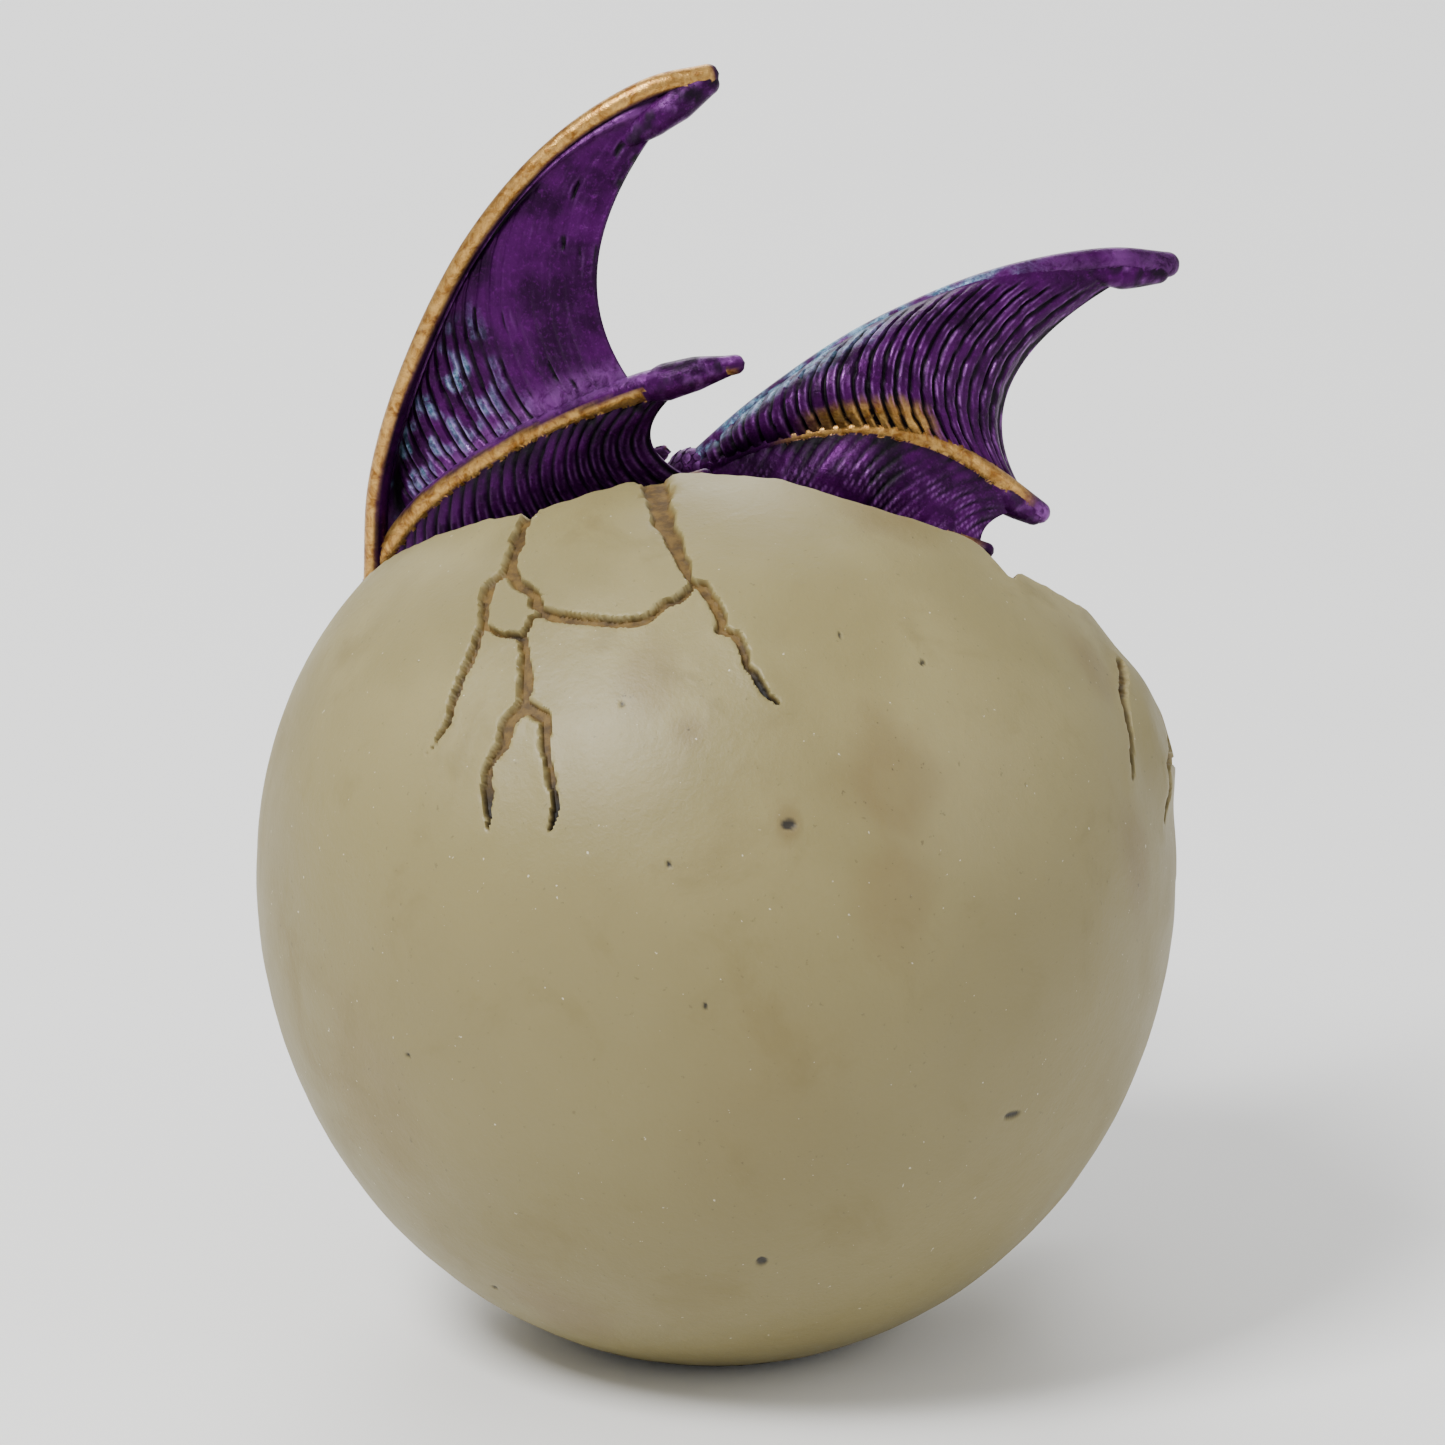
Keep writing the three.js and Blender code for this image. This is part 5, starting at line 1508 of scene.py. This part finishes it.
def dropCrumbs(piece):
    # keeps only the largest part of a cut mesh
    shape = bmesh.new()
    shape.from_mesh(piece.data)
    shape.verts.ensure_lookup_table()
    seen, largest = set(), []
    for vertex in shape.verts:
        if vertex.index in seen:
            continue
        island, queue = [], [vertex]
        seen.add(vertex.index)
        while queue:
            here = queue.pop()
            island.append(here)
            for edge in here.link_edges:
                there = edge.other_vert(here)
                if there.index not in seen:
                    seen.add(there.index)
                    queue.append(there)
        largest = max(largest, island, key=len)
    keep = {vertex.index for vertex in largest}
    bmesh.ops.delete(shape, geom=[v for v in shape.verts if v.index not in keep], context="VERTS")
    shape.to_mesh(piece.data)
    shape.free()


def makeLowerJaw():
    shapes = [headForm(jawStations),
              bar([(0, -23.4, -6.9), (0, -22.8, -8.6), (0, -21.6, -10.2)], (1.2, 0.8, 0.2))]
    for shape in (bar([(6.6, -5, -5.2), (6.2, -10, -5.0), (5.0, -17, -4.8), (4.0, -22.6, -4.9),
                       (2.2, -25.2, -4.9), (0, -25.9, -4.9)], (0.5, 0.7, 0.65, 0.65, 0.65, 0.6)),
                  bar([(5.0, -8, -7.6), (6.4, -6.4, -8.6), (7.0, -4.4, -9.2)], (1.1, 0.7, 0.2)),
                  bar([(4.6, -13, -7.4), (5.8, -11.6, -8.4), (6.4, -9.8, -9.0)], (1.0, 0.65, 0.2)),
                  bar([(3.9, -18, -7.0), (5.0, -16.8, -7.9), (5.5, -15.2, -8.5)], (0.9, 0.6, 0.2))):
        shapes += both(shape)
    mesh = organic("lowerJaw", shapes, dragon["headVoxel"], 3)
    points = places(mesh)
    rise = 0.12 * rumble(points, 2.0, 3)
    under = (1 - ramp(2.6, 3.2, np.abs(points[:, 0]))) * (1 - ramp(-7.2, -6.6, points[:, 2]))
    slope = points[:, 1] / 2.4 - np.floor(points[:, 1] / 2.4)
    points = raised(mesh, rise * (1 - under) + under * 0.3 * (slope - 0.5))
    thorns = ramp(5.4, 5.9, np.abs(points[:, 0])) * (1 - ramp(-7.6, -7.0, points[:, 2]))
    thorns = np.maximum(thorns, 1 - ramp(-9.0, -8.4, points[:, 2]))
    scaly = (thorns < 0.1) & (under < 0.1) & (points[:, 2] < -5.4) & (points[:, 1] > -24)
    setMask(mesh, "gold", clamp(0.85 * np.maximum(under, thorns)))
    setMask(mesh, "scaly", scaly)
    # painted shade: the skin under the scales is darkened
    setMask(mesh, "wash", 0.45 * scaly)
    setVectors(mesh, "along", np.broadcast_to([0.0, 1.0, 0.0], points.shape))
    setSizes(mesh, 1.1)
    washShadeAndHighlight(mesh)
    scales = scalesOn(mesh, 0.85, 8, 22)
    gum = smoothPath([(5.1, -9.5, -4.0), (4.1, -15, -3.8), (3.3, -20, -3.8), (1.5, -24, -3.9)], 9)
    teeth = teethAlong(gum, [(1.0, 0.8, 1.2)[k % 3] for k in range(len(gum))], 0.9, -0.1, 1)
    cutters = [ball((0, 0, 0), dragon["knuckle"] + dragon["clear"], 40, 26),
               headForm([(-8, 3.8, -6.6, -3), (-14, 3.2, -6.4, -3), (-21, 2.3, -6.0, -3)], 0, 32, 20)]
    piece = cutClear("lowerJaw", mesh, cuttersFrom(cutters + neckCutters(0)), crumbs=False)
    x, y, z = places(piece.data).T
    setMask(piece.data, "flesh", (z > -6.8) & (z < -4.2) & (np.abs(x) < 3.6) & (y > -21.2)
            & (normalsOf(piece.data)[:, 2] > -0.2))
    piece.data = intoPlace(joined("lowerJaw", [piece.data, scales, teeth, makeTongue()]))
    dress(piece, scaleMaterial, "lower_jaw", "root", 50)


def makeTongue():
    tongue = organic("tongue", [bar([(0, -7.4, -6.6), (0, -11, -5.4), (0, -15, -4.9), (0, -19.4, -4.7)],
                                    (2.6, 2.7, 2.3, 1.5), 24, flatten=0.38)], 0.25, 2)
    points = places(tongue)
    groove = 0.35 * hump(points[:, 0], 0, 0.4)      # along the middle of the top
    points[:, 2] -= groove * (points[:, 2] > -5.4)
    setPlaces(tongue, points)
    setMask(tongue, "flesh", np.ones(len(points)))
    return tongue


def makeEye(side):
    name, node = ("eyeLeft", "eye_left") if side > 0 else ("eyeRight", "eye_right")
    centre, gaze = eyeAt * [side, 1, 1], eyeGaze * [side, 1, 1]
    across = unit(np.cross(gaze, [0, 0, 1]))
    mesh = solidMesh(name, ball(centre, eyeRadius, 64, 40))
    away = (places(mesh) - centre) / eyeRadius
    setMask(mesh, "across", away @ across)
    setMask(mesh, "upward", away @ np.cross(across, gaze))
    dress(addObject(name, intoPlace(mesh)), eyeMaterial, node, "head", None)


# fittings, foot and pins

def makeTurned(name, node, body, material, profile, matrix=None, sides=96, sharp=35):
    piece = addObject(name, solidMesh(name, turned(profile, sides, matrix)))
    dress(piece, material, node, body, sharp)


def makeFittings():
    face = inlet["face"]
    collar = face + 1.9
    barbs = [point for start in (face + 4.6, face + 6.8, face + 9) for point in
             ((2.0, start - 0.05), (2.62, start), (2.7, start + 0.12), (2.0, start + 1.75))]
    outlines = {
        "inletGrommet": [(2.3, 26.5), (3.8, 26.5), (4.0, 26.7), (4.0, face + 0.3), (4.9, face + 0.3),
                         (5.0, face + 0.45), (5.0, face + 1.4), (4.85, face + 1.6), (2.3, face + 1.6)],
        "airInlet": [(1.0, 19), (2.0, 19), (2.0, collar), (4.1, collar), (4.2, collar + 0.12),
                     (4.2, collar + 1.38), (4.08, collar + 1.5), (2.3, collar + 1.5), (2.0, collar + 1.8)]
        + barbs + [(1.9, 50.3), (1.0, 50.3)],
        "airTube": [(2.3, 11.9), (3.3, 11.9), (3.3, 25.6), (2.3, 25.6)],
        "stoneNipple": [(1.0, 4.6), (2.0, 4.6), (2.0, 10.3), (3.2, 10.3), (3.2, 11.6), (2.0, 11.6), (2.0, 17),
                        (1.0, 17)],
    }
    for name, node, slotName, material in (
            ("inletGrommet", "inlet_grommet", "silicone", siliconeMaterial),
            ("airInlet", "air_inlet", "fitting_plastic", plasticMaterial),
            ("airTube", "air_tube", "clear_hose", hoseMaterial),
            ("stoneNipple", "stone_nipple", "fitting_plastic", plasticMaterial)):
        makeTurned(name, node, "root", material, outlines[name], inletFrame)


def makeAirStone():
    halfLong, radius = 10, 6        # a cylinder of bonded grains, its bore open at the nipple's end
    outline = ([(0, -halfLong)] + [(r, -halfLong) for r in np.linspace(0.8, 5, 9)]
               + [(5.6, -9.7), (radius, -9)] + [(radius, u) for u in np.linspace(-8.6, 8.6, 44)]
               + [(radius, 9), (5.6, 9.7), (5, halfLong), (3.6, halfLong), (2.3, halfLong)]
               + [(2.3, 4.3), (0, 4.3)])
    stone = addObject("airStone", solidMesh("airStone", turned(outline, 96, inletFrame)))
    points = places(stone.data)
    raised(stone.data, np.minimum(0.12 * rumble(points, 0.7, 2) + 0.1 * rumble(points, 0.4, 3), 0.02))
    dress(stone, stoneMaterial, "air_stone", "root", 60)


def makeFoot():
    plug = solidMesh("plug", turned([(0, 1.0), (14.3, 1.0), (14.5, 1.2), (14.5, 2.2), (12, 2.2), (12, 3.2),
                                     (11, 3.2), (11, 4.8), (12, 4.8), (12, 5.7), (11.7, 6), (0, 6)], 128))
    low, high = 5.9 - inlet["up"], 12.9 - inlet["up"]
    ribs = [solidMesh("rib", moved(box((u - 0.9, -7.5, low), (u + 0.9, 7.5, high)), inletLevel))
            for u in (-6, 6)]
    cradle = solidMesh("cradle", turned([(0, -12), (6.3, -12), (6.3, 12), (0, 12)], 96, inletFrame))
    cover = fuse("baseCover", [plug] + ribs, [cradle])
    dress(cover, plasticMaterial, "base_cover", "foot_plug", 35)
    angle = np.linspace(0, 2 * np.pi, 24, endpoint=False)
    makeTurned("coverSeal", "cover_seal", "foot_plug", siliconeMaterial,
               [(11.95 + 0.65 * math.cos(a), 4 + 0.65 * math.sin(a)) for a in angle], sides=128, sharp=None)
    rings = [(0, 0.12)]
    for r in np.arange(1.5, 13.2, 1.3):             # ridges that grip the glass
        rings += [(r, 0.12), (r + 0.15, 0), (r + 0.65, 0), (r + 0.8, 0.12)]
    makeTurned("basePad", "base_pad", "foot_plug", siliconeMaterial,
               rings + [(13.6, 0.0), (14.0, 0.0), (14.2, 0.2), (14.2, 0.7), (0, 0.7)], sides=128)


def makePins():
    hinge = rodBetween(headPoint(-8.4, 0, 0), headPoint(8.4, 0, 0), 1.0, 40, 0.2)
    for name, node, shape in (("wingPinLeft", "wing_pin_left", wingPinShape(wingLeft, 0.0, 0.15)),
                              ("wingPinRight", "wing_pin_right", wingPinShape(wingRight, 0.0, 0.15)),
                              ("headHingePin", "head_hinge_pin", hinge)):
        dress(addObject(name, solidMesh(name, shape)), steelMaterial, node, "root", 35)


nest = {"hole": (8, -10), "holeRadius": 9.6, "top": 49.0, "shelf": (42.7, 44.7), "shelfInner": 31}


def makeShelf():
    low, high = nest["shelf"]
    inner = nest["shelfInner"]
    # the outer side follows the inside of the shell
    wall = [(42.6 * math.sqrt(1 - ((z - 47.5) / 46.3) ** 2) - 0.3, z) for z in (low, high)]
    makeTurned("shelfRing", "shelf_ring", "root", shellMaterial,
               [(inner, low + 0.2), (inner + 0.2, low)] + wall + [(inner + 0.2, high), (inner, high - 0.2)],
               sides=160)


def makeNest():
    holeRadius, top, hole = nest["holeRadius"], nest["top"], np.array(nest["hole"])
    rings = [(holeRadius, 45.0), (holeRadius, 48.6)] + [(r, top) for r in np.linspace(9.9, 33.6, 60)]
    points, faces = turned(rings + [(34, 48.6), (34, 45.3), (33.7, 45)], 220)
    # the hole lies under the chest, so the rings drift from its middle to the plate's own
    reach = np.hypot(points[:, 0], points[:, 1])
    points[:, :2] += hole * (1 - ramp(holeRadius, 30, reach))[:, None]
    mesh = solidMesh("nestFloor", (points, faces))
    points = places(mesh)
    fromHole = points[:, :2] - hole
    rocky = (points[:, 2] > top - 0.1) & (np.hypot(*fromHole.T) > 10.4)
    relief = -0.5 * ramp(-0.1, 0.5, rumble(points, 4.5, 2)) - 0.35 * ramp(0.0, 0.4, rumble(points, 1.7, 3))
    points[:, 2] += np.where(rocky, relief, 0)
    setPlaces(mesh, points)
    # painted shade: the low places of the rock relief are darkened, and the rest a little
    setMask(mesh, "wash", np.where(rocky, ramp(0.1, 0.7, -relief), 0.2))
    _, away, _ = nearestOn(points, smoothPath(dragon["tail"][:5], 80))
    clearOfTail = np.hypot(away[:, 0], away[:, 1]) > 4.4
    clearOfChest = np.hypot(*(fromHole / [14.6, 13.6]).T) > 1
    setMask(mesh, "scaly", clearOfTail & clearOfChest & (points[:, 2] > 47.8)
            & (np.hypot(points[:, 0], points[:, 1]) < 32.4))
    lying = np.column_stack([rumble(points, 3, 5), rumble(points, 3, 6), np.zeros(len(points))])
    setVectors(mesh, "along", unit(lying + 0.01))
    setSizes(mesh, 1.9 + 1.3 * rumble(points, 6, 7))
    pebbles = copies(mesh, scatterTree, pebbleCopy, nestMaterial, Spacing=1.55 * mm, Lift=0.0, Seed=31)
    piece = addObject("nestFloor", joined("nestFloor", [mesh, pebbles]))
    dress(piece, nestMaterial, "nest_floor", "root", 40)


# make the pieces

shellMaterial = castResinShell()
wingMaterial = pearlPaint("pearlPaintOnCastResin", "#220228", "#3f0549", "#6a1579", "#a865bc")
scaleMaterial = pearlPaint("pearlPaintOnScales", "#26052f", "#440d54", "#6b2480", "#a066b6")
eyeMaterial = amberEye()
siliconeMaterial = mouldedSilicone()
plasticMaterial = mouldedPlastic()
hoseMaterial = clearVinyl()
stoneMaterial = bondedStone()
steelMaterial = drawnSteel()
nestMaterial = castRock()

scatterTree, pointTree = copyTree("scatteredCopies", True), copyTree("placedCopies", False)
scaleCopy, thornCopy, pebbleCopy = scaleShape(), thornShape(), pebbleShape()

dress(makeEggShell(), shellMaterial, "egg_shell", "root", 50)
makeTorso()
limbCutters = bodyCutters()
for wing, looks, barMasks, sizes in (
        (wingLeft, (leftOuterLook, leftInnerLook), (leftLeadMasks, leftMiddleMasks, innerMasks),
         ((84, 190), (40, 150))),
        (wingRight, (rightOuterLook, rightInnerLook), (rightLeadMasks, rightMiddleMasks, innerMasks),
         ((72, 180), (36, 140)))):
    dress(makeWing(wing, looks, barMasks, sizes, fresh(limbCutters[1:])),
          wingMaterial, wing["node"], "root", 55)
for leg in forelegs:
    makeForeleg(leg, fresh(limbCutters))
makeTail(fresh(limbCutters))
makeUpperHead()
makeLowerJaw()
for side in (1, -1):
    makeEye(side)
makeFittings()
makeAirStone()
makeFoot()
makePins()
makeShelf()
makeNest()
for shape in (scaleCopy, thornCopy, pebbleCopy):
    bpy.data.objects.remove(shape)


# stage, light and camera

def makeFloor():
    material, tree, _, tone = newMaterial("paleStudioFloor", (60, 2, 0.55), Roughness=0.6)
    tint = shade(tree, "mix", tone, paint("#f6f6f5"), paint("#f2f2f1"))
    corners = [(-2500, -2500, 0), (2500, -2500, 0), (2500, 2500, 0), (-2500, 2500, 0)]
    floor = addObject("floor", makeMesh("floor", corners, [(0, 1, 2, 3)]))
    floor.data.materials.append(finished(material, [], Base_Color=tint))


def makeLight(name, place, size, power, target=(0, 0, 0.06)):
    light = bpy.data.lights.new(name, "AREA")
    light.shape, light.size, light.energy = "SQUARE", size, power
    lamp = bpy.data.objects.new(name, light)
    scene.collection.objects.link(lamp)
    lamp.location = place
    lamp.rotation_euler = (Vector(target) - Vector(place)).to_track_quat("-Z", "Y").to_euler()


def makeCamera():
    settings = {"distance": 1.0, "elevation": 17, "azimuth": 180, "frameWidth": 0.1445,
                "target": (-0.00065, 0, 0.0634)}
    view = bpy.data.cameras.new("camera")
    view.sensor_width, view.lens = 36, 36 * settings["distance"] / settings["frameWidth"]
    camera = bpy.data.objects.new("camera", view)
    scene.collection.objects.link(camera)
    turn, rise = math.radians(settings["azimuth"]), math.radians(settings["elevation"])
    away = Vector((math.sin(turn) * math.cos(rise), -math.cos(turn) * math.cos(rise), math.sin(rise)))
    target = Vector(settings["target"])
    camera.location = target + away * settings["distance"]
    camera.rotation_euler = (-away).to_track_quat("-Z", "Y").to_euler()
    scene.camera = camera


makeFloor()
world = bpy.data.worlds.new("studio")
scene.world = world
world.use_nodes = True
world.node_tree.nodes["Background"].inputs["Color"].default_value = paint("#ffffff")
world.node_tree.nodes["Background"].inputs["Strength"].default_value = 0.65
makeLight("keyLight", (0.5, 0.5, 0.95), 0.35, 17)
makeLight("fillLight", (-0.8, 0.35, 0.45), 0.6, 2)
makeLight("frontLight", (0.1, -0.8, 0.6), 0.6, 5)
makeCamera()
